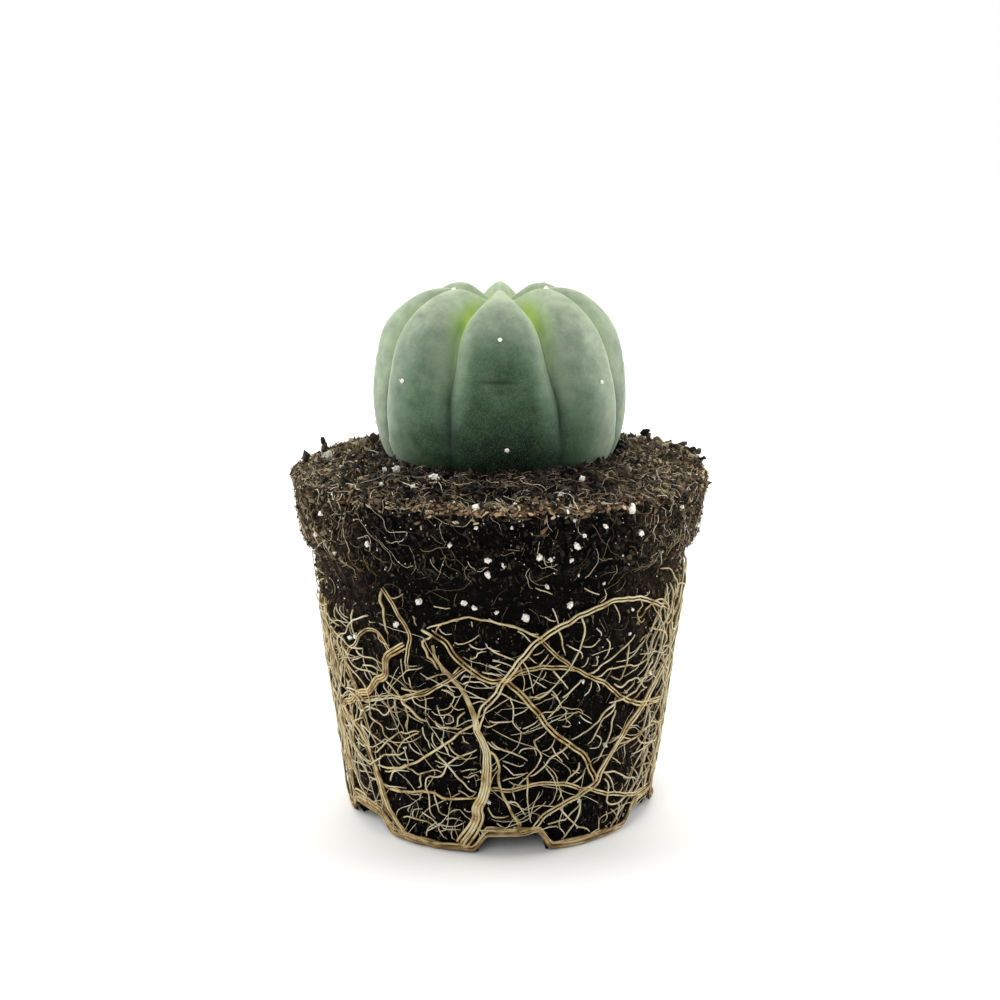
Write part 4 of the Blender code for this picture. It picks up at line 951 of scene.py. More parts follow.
# Radius in mm, then the routes of that radius as azimuth in degrees and height in mm
FINE_ROUTES = (
    (0.24, (
        ((-58, 34), (-51, 35), (-47, 34), (-44, 35), (-40, 36), (-36, 38)),
        ((-36, 38), (-32, 38), (-29, 39), (-26, 40), (-22, 41)),
        ((-34, 39), (-31, 37), (-30, 35), (-30, 33), (-31, 30)),
        ((-53, 30), (-49, 32), (-47, 33), (-44, 33), (-42, 33), (-40, 32), (-38, 33), (-36, 35)),
        ((-47, 33), (-51, 31), (-54, 28), (-56, 26)),
        ((-49, 31), (-46, 30), (-42, 29), (-41, 27), (-38, 26), (-36, 25), (-35, 24)),
        ((-54, 27), (-51, 27), (-47, 26), (-43, 25), (-40, 25), (-38, 24), (-35, 22), (-32, 22), (-30, 22)),
        ((-48, 21), (-45, 22), (-40, 25), (-37, 27), (-34, 29), (-31, 29), (-28, 30), (-26, 30), (-28, 29),
         (-32, 27), (-34, 25), (-36, 23)),
        ((-17, 28), (-15, 26), (-13, 25), (-11, 24)), ((-13, 25), (-10, 26), (-7, 27)),
        ((-13, 25), (-15, 24), (-17, 23), (-19, 20), (-22, 19), (-24, 19), (-25, 17), (-25, 16), (-24, 15),
         (-24, 12), (-24, 10), (-23, 8)),
        ((-43, 17), (-39, 18), (-34, 20), (-32, 21), (-32, 20), (-30, 20), (-28, 19), (-25, 20), (-21, 21), (-19, 20)),
        ((-41, 15), (-40, 16), (-38, 18), (-35, 19), (-32, 19)), ((-28, 19), (-28, 18), (-27, 16), (-29, 15)),
        ((-23, 15), (-22, 13), (-21, 10), (-19, 9)),
        ((-37, 6), (-35, 7), (-31, 7), (-27, 7), (-24, 6), (-22, 6)),
        ((-11, 36), (-13, 35), (-13, 33), (-14, 32)), ((-67, 6), (-60, 7), (-55, 7), (-51, 7), (-46, 6)),
        ((-66, 27), (-65, 24), (-62, 21), (-63, 16), (-64, 13)),
        ((-66, 24), (-70, 20), (-67, 16), (-69, 12), (-68, 9)), ((-53, 28), (-51, 26), (-49, 24), (-48, 21)),
        ((-4, 29), (-2, 28), (-0, 27)), ((-3, 34), (-1, 34), (2, 34), (4, 34)),
        ((40, 35), (37, 33), (34, 32), (33, 30), (31, 27), (30, 26)),
        ((40, 33), (38, 31), (38, 28), (36, 25), (35, 23), (33, 21)), ((39, 25), (42, 26), (46, 25), (50, 24)),
        ((54, 24), (55, 22), (59, 21), (65, 20), (78, 17)),
        ((11, 29), (12, 27), (13, 25), (12, 23), (10, 21), (9, 20), (7, 19), (5, 17)),
        ((-3, 29), (-1, 28), (2, 27), (5, 26), (9, 24)),
        ((9, 20), (9, 17), (9, 16), (9, 13), (10, 10), (11, 8)), ((2, 14), (5, 14), (7, 12), (9, 10)),
        ((-4, 12), (-2, 10), (-1, 10), (3, 10)), ((27, 22), (26, 21), (23, 19), (22, 17)),
        ((30, 19), (28, 18), (25, 17), (23, 16)), ((29, 12), (28, 9), (27, 7), (25, 5), (23, 3), (22, 2)),
        ((21, 11), (23, 9), (27, 6), (30, 5), (34, 3)), ((17, 7), (21, 8), (23, 8), (26, 10), (29, 12)),
        ((37, 18), (40, 18), (43, 17), (47, 15), (49, 14), (49, 12)), ((38, 18), (40, 16), (42, 13), (45, 11)),
        ((49, 14), (54, 13), (61, 10)), ((58, 31), (56, 29), (55, 26), (53, 25)),
        ((60, 30), (59, 26), (57, 24)), ((69, 30), (63, 31), (58, 32), (54, 33)),
        ((72, 17), (69, 15), (67, 13), (63, 10)), ((63, 20), (63, 18), (61, 16)), ((47, 8), (46, 5), (46, 3)),
        ((5, 10), (7, 8), (7, 6)), ((13, 7), (14, 5), (16, 4), (17, 3)),
        ((-43, 56), (-46, 55), (-49, 54), (-52, 52), (-54, 50), (-57, 49), (-59, 48), (-62, 47)),
        ((-50, 47), (-47, 46), (-44, 46), (-41, 46), (-38, 45)), ((-48, 43), (-44, 44), (-41, 44), (-39, 43)),
        ((-38, 41), (-35, 40), (-32, 38), (-30, 37)), ((-23, 43), (-21, 44), (-18, 45), (-16, 45)),
        ((-14, 45), (-13, 46), (-12, 47)), ((-16, 43), (-15, 42), (-14, 41)), ((-3, 47), (-0, 48)),
        ((-5, 46), (-2, 46), (-0, 45)), ((-56, 38), (-59, 36), (-60, 34), (-62, 32)),
        ((-59, 35), (-55, 36), (-52, 36), (-48, 36)), ((-3, 59), (0, 58), (5, 57), (8, 56), (11, 55)),
        ((17, 56), (18, 54), (19, 51), (20, 49)),
        ((24, 58), (25, 56), (25, 54), (24, 52), (23, 49), (21, 47), (19, 45), (17, 43), (15, 41), (12, 40), (9, 40)),
        ((53, 51), (58, 50), (62, 48), (65, 46)),
        ((28, 44), (30, 45), (32, 46), (36, 47), (40, 49), (43, 50), (45, 51)),
        ((43, 49), (42, 47), (42, 45), (41, 43), (40, 41), (37, 42)),
        ((30, 43), (32, 43), (35, 44), (38, 44), (43, 44), (47, 43), (52, 44), (54, 45), (57, 46)),
        ((16, 46), (18, 44), (21, 41)), ((20, 39), (22, 41), (25, 43)), ((-3, 52), (-1, 51), (2, 50), (4, 49)),
        ((12, 39), (15, 41), (17, 42)), ((38, 40), (40, 39), (43, 40), (45, 40), (48, 40), (52, 37), (56, 36)),
        ((50, 39), (55, 39), (57, 39), (60, 37), (59, 36), (57, 34), (58, 32)), ((43, 37), (45, 38), (48, 39)),
        ((49, 34), (51, 36), (55, 36)),)),
    (0.40, (
        ((-32, 37), (-29, 36), (-26, 34), (-24, 33)),
        ((70, 24), (59, 25), (54, 24), (50, 24), (46, 24), (42, 24)),
        ((-36, 63), (-36, 61), (-35, 59), (-35, 58), (-35, 56), (-35, 54), (-35, 53)),
        ((-22, 53), (-23, 52), (-22, 50), (-22, 49), (-20, 48), (-19, 46)),
        ((-23, 55), (-21, 55), (-20, 54), (-22, 53)),)),
    (0.17, (
        ((-33, 25), (-32, 24), (-31, 22), (-32, 20)), ((-25, 31), (-24, 29), (-23, 28), (-23, 26)),
        ((-22, 30), (-22, 29), (-21, 27), (-20, 26)), ((-19, 29), (-17, 27), (-17, 26)),
        ((-12, 30), (-11, 29), (-9, 28)), ((-21, 22), (-19, 22), (-17, 23)), ((-13, 21), (-10, 22), (-7, 22)),
        ((-12, 20), (-10, 20), (-8, 21), (-7, 20)), ((-12, 24), (-9, 25), (-7, 25)),
        ((-28, 14), (-28, 13), (-29, 12)), ((-14, 16), (-12, 16), (-10, 15), (-8, 16)), ((-34, 8), (-33, 10)),
        ((-32, 7), (-31, 9), (-30, 10), (-28, 10)),
        ((-28, 9), (-26, 9), (-23, 8), (-22, 7), (-19, 7), (-16, 7), (-12, 8)),
        ((-19, 8), (-17, 9), (-15, 9), (-13, 8)), ((-27, 3), (-26, 5), (-25, 6), (-23, 7)),
        ((-22, 6), (-21, 5), (-19, 3)), ((-21, 6), (-18, 6), (-14, 6)), ((-17, 6), (-17, 4), (-16, 3)),
        ((-12, 11), (-11, 11), (-9, 11)),
        ((-17, 41), (-15, 41), (-14, 40), (-15, 38), (-16, 37), (-18, 36), (-20, 36)),
        ((-15, 38), (-13, 37), (-11, 37)),
        ((-19, 34), (-18, 34), (-17, 35), (-15, 35), (-14, 34), (-16, 33), (-18, 33)),
        ((-10, 40), (-7, 40), (-5, 40), (-3, 39)), ((-9, 38), (-7, 39), (-5, 39), (-4, 38)),
        ((-5, 33), (-4, 33), (-0, 34)), ((-39, 32), (-37, 34), (-35, 35), (-35, 37)),
        ((-35, 37), (-35, 35), (-35, 32)), ((-32, 35), (-30, 34), (-27, 33), (-25, 32)),
        ((-28, 39), (-26, 37), (-22, 36)), ((-24, 39), (-23, 38), (-24, 34)),
        ((-41, 36), (-38, 35), (-36, 34), (-33, 34)), ((-60, 17), (-55, 18), (-53, 19)),
        ((-60, 14), (-57, 14), (-53, 15), (-50, 15)), ((-54, 10), (-52, 12), (-49, 14)),
        ((-57, 6), (-52, 7), (-46, 9)), ((-62, 7), (-62, 5), (-61, 4)), ((-39, 23), (-37, 21), (-36, 20)),
        ((-44, 21), (-44, 19), (-45, 17)), ((-31, 26), (-29, 25), (-26, 24)),
        ((3, 40), (4, 38), (4, 36), (4, 34), (6, 32), (7, 31)), ((4, 35), (6, 36), (9, 37)),
        ((-1, 41), (1, 41), (3, 40), (6, 39), (9, 38)), ((7, 32), (9, 33), (12, 34)),
        ((8, 40), (10, 40), (13, 41), (16, 41)), ((10, 39), (12, 40), (15, 41)),
        ((16, 40), (18, 39), (19, 37), (21, 36), (21, 34), (23, 32)),
        ((11, 34), (13, 36), (14, 36), (17, 36), (19, 37), (22, 36), (25, 36), (27, 34)),
        ((15, 34), (17, 36), (19, 38), (22, 40)), ((26, 34), (27, 33), (31, 31)),
        ((33, 28), (35, 27), (34, 25), (30, 25)), ((20, 32), (21, 32), (23, 32)),
        ((11, 29), (13, 30), (15, 31)), ((18, 29), (16, 27), (14, 26)),
        ((6, 26), (7, 27), (9, 27), (11, 27), (12, 25)), ((1, 24), (3, 24), (6, 23), (8, 23)),
        ((1, 23), (3, 22), (4, 21), (7, 21), (9, 21)), ((1, 19), (3, 20), (5, 20), (9, 21)),
        ((5, 18), (4, 17), (5, 14)), ((15, 22), (17, 20), (18, 18), (19, 16), (18, 14), (17, 12)),
        ((21, 16), (20, 13)), ((25, 20), (28, 19)), ((45, 11), (48, 13)), ((52, 16), (55, 14), (57, 12)),
        ((44, 7), (48, 3)), ((41, 7), (40, 4)), ((32, 2), (36, 3), (39, 3)), ((46, 25), (46, 22), (48, 19)),
        ((41, 21), (46, 18)), ((20, 26), (22, 24), (23, 23)), ((17, 27), (18, 25), (21, 23)),
        ((-1, 8), (2, 7), (4, 7)), ((-56, 56), (-52, 54)), ((-42, 55), (-41, 55), (-40, 55)),
        ((-39, 52), (-37, 51), (-35, 50)), ((-44, 42), (-41, 42)), ((-48, 42), (-47, 41), (-46, 39)),
        ((-53, 43), (-48, 45)), ((-31, 48), (-31, 46), (-31, 44), (-30, 42), (-29, 41)),
        ((-29, 43), (-28, 42), (-28, 40)), ((-30, 46), (-28, 46), (-26, 46)), ((-39, 40), (-37, 39), (-35, 38)),
        ((-12, 44), (-11, 45), (-9, 45), (-7, 45)), ((-11, 43), (-9, 44), (-8, 44), (-6, 44), (-2, 42)),
        ((-19, 61), (-17, 61), (-14, 61)), ((-13, 53), (-11, 53), (-8, 54), (-6, 55)),
        ((-9, 53), (-6, 52), (-4, 52)), ((-4, 53), (-3, 52), (-0, 51)),
        ((-9, 49), (-7, 50), (-6, 51), (-4, 51)), ((-8, 58), (-8, 57)),
        ((-19, 55), (-17, 57), (-14, 58), (-12, 58)), ((-18, 56), (-16, 55), (-14, 55)),
        ((-26, 58), (-25, 58), (-25, 56)), ((-34, 62), (-31, 62), (-29, 63)), ((-2, 49), (-0, 49)),
        ((-18, 41), (-16, 41), (-14, 40), (-12, 40)), ((5, 56), (7, 55), (9, 53)),
        ((15, 61), (16, 59), (17, 57)), ((13, 59), (16, 58)), ((20, 52), (22, 51), (24, 50), (25, 48)),
        ((25, 51), (28, 51), (30, 52), (31, 52)), ((29, 55), (31, 53)), ((33, 52), (34, 50), (33, 47)),
        ((35, 60), (36, 58), (38, 55)), ((45, 60), (46, 58), (44, 57), (44, 56), (46, 54), (49, 54)),
        ((58, 53), (56, 51), (55, 50), (54, 48), (53, 47), (55, 45)), ((61, 54), (63, 50)),
        ((67, 49), (67, 47)), ((48, 49), (48, 50), (51, 50)), ((8, 50), (11, 48)), ((10, 50), (13, 51)),
        ((12, 47), (12, 48), (14, 50)), ((6, 49), (8, 47), (9, 44), (10, 41)), ((10, 44), (12, 43), (14, 42)),
        ((12, 44), (14, 46)), ((25, 46), (27, 48)), ((27, 39), (29, 42)), ((31, 42), (32, 39)),
        ((-2, 49), (-0, 49), (3, 48), (6, 46)), ((-3, 48), (-0, 47), (2, 46)), ((-3, 46), (-0, 46), (1, 45)),
        ((16, 41), (18, 39)), ((30, 61), (31, 63), (31, 64)), ((46, 60), (48, 61), (49, 61)),
        ((24, 65), (26, 64), (29, 63)), ((10, 66), (13, 65), (15, 64)), ((30, 48), (30, 46), (29, 46)),)),
    (0.27, (
        ((-21, 25), (-19, 24), (-17, 23), (-16, 22), (-14, 20), (-12, 19), (-10, 17), (-8, 16)),
        ((-21, 33), (-19, 32), (-16, 32), (-14, 32), (-12, 32)),
        ((40, 36), (38, 35), (35, 34), (33, 32), (31, 31), (29, 30), (26, 29), (24, 28)),
        ((23, 27), (20, 26), (17, 25), (15, 23), (12, 21), (10, 20)), ((-50, 56), (-50, 53), (-50, 50)),
        ((-32, 40), (-30, 40), (-28, 40), (-25, 40)),)),
)
BACK_RAISED, BACK_TOP = 4, 62  # mm by which their repeats behind are higher, and how high those go
WANDERERS = 260
WANDERER_LENGTH = (6.0 * MM, 26.0 * MM)
WANDERER_RADIUS = (0.09 * MM, 0.19 * MM)
FRONT_EDGE = 60.0  # degrees either side of the front that count as in front
FRONT_THINNING = 0.75  # of those in front, by radius
FRONT_HIGH = 50.0 * MM  # how far up those in front go
UPRIGHTS = 330
UPRIGHT_LENGTH = (8.0 * MM, 30.0 * MM)
UPRIGHT_RADIUS = (0.14 * MM, 0.34 * MM)
MATS = (56.0, 122.0)  # degrees to either side between which they hang
MAT_FOOT = 16.0 * MM
MAT_TOPS = {-1: 56.0 * MM, 1: 64.0 * MM}  # how far up they begin on the left and on the right
FINE_LOW = 2.0 * MM
FINE_FULL = 44.0 * MM  # up to here they are dense
FINE_HIGH = 66.0 * MM
WANDERER_UNREST, UPRIGHT_UNREST = 0.075, 0.08  # how much they bend at each step, in radians
SHARP_TURN = (0.3, 0.9)  # radians
DIVE = 0.8 * MM  # how deep their ends go into the mix
FINE_LIFT = (0.1, 0.8)  # mm off the wall
FINE_TAPER = 0.35


def wandering(degrees, height, heading, length, unrest, draw):
    """Places of a root that grows over the wall, bending slowly and sometimes turning off sharply."""
    places = [(degrees, height)]
    bend = 0.0
    for _ in range(max(3, round(length / FINE_STEP))):
        bend = 0.75 * bend + draw.gauss(0.0, unrest)
        heading += bend
        if draw.random() < unrest:
            heading += draw.choice((-1, 1)) * draw.uniform(*SHARP_TURN)
        height += FINE_STEP * math.sin(heading)
        if not FINE_LOW < height < FINE_HIGH:
            heading = -heading
            height = min(max(height, FINE_LOW), FINE_HIGH)
        degrees += math.degrees(FINE_STEP * math.cos(heading) / wall_radius(height))
        places.append((degrees, height))
    return np.array(places)


def fine_strand(places, radius, draw):
    """A root on those places that rises out of the mix, weaves in and out a little and goes back in."""
    count = len(places)
    share = np.linspace(0.0, 1.0, count)
    seed = draw.uniform(0.0, 500.0)
    dive = DIVE * np.maximum(0.0, 1.0 - count * np.minimum(share, 1.0 - share) / 1.5)
    lift = draw.uniform(*FINE_LIFT) * MM + 0.25 * MM * slow_noise(count, 0.25, seed) - dive
    thick = radius * (1.0 - FINE_TAPER * share) * (1.0 + 0.12 * slow_noise(count, 0.6, seed + 50))
    astray = (slow_noise(count, 0.4, seed + 9) * 0.3, slow_noise(count, 0.4, seed + 19) * 0.2 * MM)
    places = places + np.stack(astray, axis=1)
    return on_wall_at(kept_up(places, thick), lift), thick, min(1.0, 0.4 * draw.random() + radius / MM)


draw = random.Random(35)
fine_strands = []
for radius, points_of_routes in FINE_ROUTES:
    for points in points_of_routes:
        fine_strands.append(fine_strand(eased(points, FINE_STEP), radius * MM, draw))
        behind = [(180 - degrees, min(height + BACK_RAISED, BACK_TOP)) for degrees, height in points]
        fine_strands.append(fine_strand(eased(behind, FINE_STEP), radius * MM, draw))
for _ in range(WANDERERS):
    degrees, height = draw.uniform(-180.0, 180.0), draw.uniform(FINE_LOW, FINE_HIGH)
    front = abs(degrees) < FRONT_EDGE
    if front and height > FRONT_HIGH or draw.random() > (FINE_HIGH - height) / (FINE_HIGH - FINE_FULL) + 0.1:
        continue
    heading = draw.choice((0.0, math.pi)) + draw.gauss(0.0, 0.8)
    places = wandering(degrees, height, heading, draw.uniform(*WANDERER_LENGTH), WANDERER_UNREST, draw)
    radius = draw.uniform(*WANDERER_RADIUS) * (FRONT_THINNING if front else 1.0)
    fine_strands.append(fine_strand(places, radius, draw))
for _ in range(UPRIGHTS):
    side = draw.choice((-1, 1))
    degrees = side * draw.uniform(*MATS)
    heading = -0.5 * math.pi + draw.gauss(0.0, 0.4)
    high = draw.uniform(MAT_FOOT, MAT_TOPS[side])
    places = wandering(degrees, high, heading, draw.uniform(*UPRIGHT_LENGTH), UPRIGHT_UNREST, draw)
    fine_strands.append(fine_strand(places, draw.uniform(*UPRIGHT_RADIUS), draw))
fine_roots = swept("fine_roots", fine_strands, 5)
dress(fine_roots, root_skin)

# The band round the base: roots that reached the bottom of the pot and went on circling in its corner. They climb
# over each drainage notch and make a fibrous tan hem.
BAND_STRANDS = 34
BAND_RADIUS = (0.16 * MM, 0.4 * MM)
BAND_HEIGHTS = (0.4 * MM, 2.4 * MM)
BAND_SPAN = (50.0, 170.0)  # degrees that one of them goes round
BAND_LIFT = (-0.2, 0.6)  # mm off the wall
BAND_CORNER = 1.3 * MM  # the height under which the ball's edge is rounded, so that the band draws in
BAND_DRAWN_IN = 0.9 * MM

draw = random.Random(36)
band_strands = []
for _ in range(BAND_STRANDS):
    radius = draw.uniform(*BAND_RADIUS)
    begin = draw.uniform(0.0, 360.0)
    degrees = np.arange(begin, begin + draw.uniform(*BAND_SPAN), math.degrees(FINE_STEP / BASE_RADIUS))
    seed = draw.uniform(0.0, 500.0)
    drift = 0.8 * MM * slow_noise(len(degrees), 0.12, seed)
    heights = draw.uniform(*BAND_HEIGHTS) + drift + notch_lift(degrees) * (NOTCH_HEIGHT + OVER_NOTCH)
    lift = draw.uniform(*BAND_LIFT) * MM + 0.25 * MM * slow_noise(len(degrees), 0.2, seed + 50)
    lift -= BAND_DRAWN_IN * np.clip(1.0 - heights / BAND_CORNER, 0.0, 1.0)
    thick = radius * (1.0 + 0.15 * slow_noise(len(degrees), 0.3, seed + 90))
    places = kept_up(np.stack([degrees, heights], axis=1), thick)
    band_strands.append((on_wall_at(places, lift), thick, draw.uniform(0.75, 1.1)))
base_band = swept("base_band_roots", band_strands, 6)
dress(base_band, root_skin)

# The stem: a spineless, ribbed globe, grown as one piece. Eight broad ribs meet in the sunken crown; the valleys
# between them are deep and light green near the crown and close to fine creases lower down. Under some of the
# areoles a short fold makes the chin that the plant is named for.
RIB_CRESTS = (0.0, 49.0, 94.0, 137.0, 180.0, 223.0, 266.0, 311.0)  # azimuths in degrees
STEM_WAIST = 101.2 * MM
STEM_RADIUS = 30.4 * MM
STEM_TOP = 127.3 * MM
CROWN_RADIUS = 13.0 * MM  # of the highest circle of the crests
CROWN_DIP = 3.9 * MM
STEM_FOOT = 75.2 * MM
NECK_RADIUS = 8.0 * MM
SHOULDER = 0.92  # the power of the crest's section: 1 is an ellipse, and less is squarer
NECK_TIP = 66.3 * MM
NECK_TIP_RADIUS = 6.0 * MM
STEM_ROWS = 124
CROWN_ROWS = 30
STEM_COLUMNS = 288
LEAN = 3.2  # degrees by which the ribs drift round on their way down
LEAN_HEIGHTS = (118.0 * MM, 92.0 * MM)  # from where to where they drift
FRONT_SPREAD = 2.0  # degrees by which the front rib widens to either side under its chin
SPREAD_HEIGHTS = (112.0 * MM, 104.0 * MM)
VALLEY_CREASE, VALLEY_DEEP = 1.0 * MM, 5.5 * MM  # how deep the valleys are low down, and at their deepest
VALLEY_HEIGHTS = (92.0 * MM, 120.24 * MM)  # from where to where they deepen
VALLEY_OPENING = 0.65  # the power by which they do
CROWN_EASE = 1.25  # the radius within which they fade towards the middle, over the crown's
# At a height in mm, the power of a rib's section: 2 is a circle, and more is squarer
RIB_FULLNESS = ((101, 2.0), (108, 2.6), (112, 3.0), (116, 3.1), (120, 3.0), (124, 2.6), (127.3, 2.0))
SIDE_ROUNDER = 0.9  # how much less that power is on the side ribs
SIDE_AZIMUTHS = (49.0, 64.0)  # degrees off the front, from where to where it gets less
RIB_ROUNDNESS = 0.94  # how far round that section a rib's flank goes
CROWN_SHARE = 0.59  # how much of the way between the valleys a rib takes in the crown
CROWN_REACH = (12.5 * MM, 26.5 * MM)  # radii between which it widens to all of the way
FLANK_EASING = 0.25  # how softly a flank ends in a valley's floor there, as a share of the rib
CROWN_FLOOR = 0.3  # how much deeper a valley's middle is than where the ribs' flanks end, there
RIB_DROPS = (0.0, 0.0, 0.4, 0.0, 0.0, 0.0, 0.5, 0.0)  # mm by which each rib's shoulder is lower
DROP_HEIGHTS = (104.0 * MM, 124.0 * MM)  # from where to where it gets lower
RIB_BULGES = (0.0, 0.0, 0.45, 0.0, 0.0, 0.0, 0.9, 0.0)  # mm by which it is fuller just under there
BULGE_HEIGHT, BULGE_REACH = 117.0, 6.0  # mm
UNEVEN_GRAIN, UNEVEN_DEPTH = 11.0 * MM, 0.25 * MM  # of the slow waves all over the stem
# The chin folds: azimuth in degrees, then height and half length in mm, and how deep they are
CHINS = ((-1.3, 108.9, 4.6, 1.0), (311.0, 122.0, 2.6, 0.4), (49.0, 122.0, 2.4, 0.25), (94.0, 110.0, 3.8, 0.5),
         (137.0, 119.0, 3.0, 0.5), (180.0, 107.5, 4.0, 0.7), (223.0, 121.0, 2.8, 0.5), (266.0, 112.0, 3.6, 0.5))
CHIN_FOLD = 0.6 * MM
CHIN_WIDTH = 0.48  # mm
CHIN_CURVE = 0.012  # mm by which a fold bends down 1 mm from its middle
CHIN_SWELL = 0.5  # how far the chin under a fold stands out, over the fold's depth
SWELL_UNDER, SWELL_WIDTH = 1.6, 1.3  # mm
# The skin's paleness, partly bloom and partly painted light: how pale it is at a height in mm, darker towards the foot
# as painted shade, and how much painted side light there is at an azimuth off the front
BLOOM_AND_SHADE_BY_HEIGHT = ((84, 0.0), (92, 0.06), (96, 0.14), (102, 0.3), (110, 0.42), (115.5, 0.55), (117.5, 0.65), (120, 0.75),
         (124, 0.88), (127.3, 1.0))
STEM_SIDE_LIGHT_ASIDE = ((10, 0.0), (27, 0.2), (37, 0.34), (49, 0.64), (60, 0.86), (110, 0.8), (180, 0.35))
STEM_SIDE_LIGHT_RIGHT = 9.0  # degrees by which that is nearer the front on the right, and farther from it on the left
SKIN_PALEST = 0.9
FLANK_HIGHLIGHT = 0.45  # how much painted highlight the ribs' flanks have in their upper part
FLANK_HIGHLIGHT_ACROSS = ((0.45, 0.0), (0.75, 1.0), (0.95, 1.0), (1.0, 0.3))  # the same, on the way from crest to valley
FLANK_HIGHLIGHT_HEIGHTS = ((96, 0.0), (106, 1.0), (117, 1.0), (121, 0.0))  # the same, at a height in mm
FRONT_SHADE = 0.1  # how much painted shade darkens the front under the upper areole
FRONT_SHADE_WIDTH, FRONT_SHADE_HEIGHT, FRONT_SHADE_REACH = 6.5, 112.6, 2.5  # half its width in degrees, its height and reach in mm
# The green of the valleys: how strong it is at a height and at a radius in mm, and how far down the flanks it starts
YOUNG = ((103, 0.0), (111, 0.28), (116, 0.55), (121, 1.0))
YOUNG_CROWN = ((2, 0.45), (14, 1.0))
GREY_ACROSS = ((0, 0.0), (5, 0.1), (13, 0.3), (19.5, 0.5), (23, 0.58), (27, 0.66))
GREENING, GREEN_EDGE = 1.3, 0.38  # the power by which it comes in, and over how much of the way
CREASE_HEIGHTS = (111.0, 104.0)  # mm, from where to where the valleys close to creases that are darkened by painted shade
CREASE_FOOT = 78.0 * MM
CREASE_SHARPNESS = 14


def read_off(table, place):
    """The value at a place, from a table of places and values."""
    return np.interp(place, *zip(*table))


def crest_at(turn):
    """The radius and height of a crest on its way, from -pi/2 at the neck to pi/2 at the highest circle."""
    inner, half = (NECK_RADIUS, STEM_WAIST - STEM_FOOT) if turn < 0 else (CROWN_RADIUS, STEM_TOP - STEM_WAIST)
    radius = inner + (STEM_RADIUS - inner) * max(math.cos(turn), 0.0) ** SHOULDER
    return radius, STEM_WAIST + half * math.sin(turn)


outline = [(0.0, NECK_TIP), (NECK_TIP_RADIUS, NECK_TIP)]
outline += [crest_at(turn) for turn in np.radians(np.linspace(-90.0, 90.0, STEM_ROWS))]
outline += [(CROWN_RADIUS * share, STEM_TOP - CROWN_DIP * math.cos(0.5 * math.pi * share) ** 2)
            for share in np.linspace(1.0, 0.0, CROWN_ROWS)[1:]]
stem = turned("cactus_skin", outline, STEM_COLUMNS)
places = corner_places(stem.data).astype(float)
outward = np.array([corner.vector for corner in stem.data.vertex_normals])
radii = np.hypot(places[:, 0], places[:, 1])
heights = places[:, 2]

# Each corner's azimuth, with the ribs' drift and the front rib's spread taken off it, and the rib that it is on
bearings = np.degrees(np.arctan2(places[:, 0], -places[:, 1]))
bearings -= LEAN * passed(heights, LEAN_HEIGHTS)
near_front = np.where(np.abs(bearings) < RIB_CRESTS[1], np.sin(math.pi * bearings / RIB_CRESTS[1]), 0.0)
bearings -= FRONT_SPREAD * near_front * passed(heights, SPREAD_HEIGHTS)
crests = np.array([RIB_CRESTS[-1] - 360.0, *RIB_CRESTS, 360.0])
bearings = np.where(bearings < -0.5 * (360.0 - RIB_CRESTS[-1]), bearings + 360.0, bearings)
aside = np.abs((bearings + 180.0) % 360.0 - 180.0)
nearest = np.argmin(np.abs(bearings[:, None] - crests), axis=1)
rib = (nearest - 1) % len(RIB_CRESTS)
off_crest = bearings - crests[nearest]
gaps = np.diff(crests)
half_left = 0.5 * gaps[np.maximum(nearest - 1, 0)]
half_right = 0.5 * gaps[np.minimum(nearest, len(gaps) - 1)]
across = np.clip(np.abs(off_crest) / np.where(off_crest < 0, half_left, half_right), 0.0, 1.0)

# How deep the valleys are, and the section of the ribs between them
depth = VALLEY_CREASE + (VALLEY_DEEP - VALLEY_CREASE) * passed(heights, VALLEY_HEIGHTS) ** VALLEY_OPENING
depth *= np.sin(0.5 * math.pi * np.minimum(1.0, radii / (CROWN_EASE * CROWN_RADIUS))) * (heights > STEM_FOOT)
power = np.maximum(read_off(RIB_FULLNESS, heights / MM) - SIDE_ROUNDER * passed(aside, SIDE_AZIMUTHS), 2.0)
widening = passed(radii, CROWN_REACH)
taken = np.where(heights > STEM_WAIST, CROWN_SHARE + (1.0 - CROWN_SHARE) * widening**2 * (3.0 - 2.0 * widening), 1.0)
flank_share = across / taken
floor_dip = CROWN_FLOOR * np.maximum(0.0, flank_share - 1.0)
easing = np.maximum(FLANK_EASING * (1.0 - taken) / (1.0 - CROWN_SHARE), 1e-6)
eased_share = 1.0 - easing * np.exp(np.minimum(0.0, (1.0 - easing - flank_share) / easing))
flank_share = RIB_ROUNDNESS * np.where(flank_share < 1.0 - easing, flank_share, eased_share)
section = (1 - (1 - flank_share**power) ** (1 / power)) / (1 - (1 - RIB_ROUNDNESS**power) ** (1 / power))
sink = depth * (section + floor_dip)

# The chin folds, the slow waves, and the shoulders of two ribs
fold = np.zeros(len(places))
for bearing, height, half, strength in CHINS:
    sideways = ((bearings - bearing + 180.0) % 360.0 - 180.0) * math.pi / 180 * radii / MM
    from_fold = (heights / MM - height) + CHIN_CURVE * sideways**2
    reach_share = strength * np.clip(1.0 - (np.abs(sideways) / half) ** 2, 0.0, 1.0)
    fold = np.maximum(fold, reach_share * np.exp(-(from_fold / CHIN_WIDTH) ** 2))
    sink -= CHIN_SWELL * CHIN_FOLD * reach_share * np.exp(-((from_fold + SWELL_UNDER) / SWELL_WIDTH) ** 2)
sink += CHIN_FOLD * fold
unevenness = np.array([noise.noise(Vector(place) / UNEVEN_GRAIN) for place in places])
sink -= UNEVEN_DEPTH * unevenness * (heights > STEM_FOOT)
on_crest = MM * (1.0 - across**2)
sink -= np.array(RIB_BULGES)[rib] * on_crest * np.exp(-((heights / MM - BULGE_HEIGHT) / BULGE_REACH) ** 2)
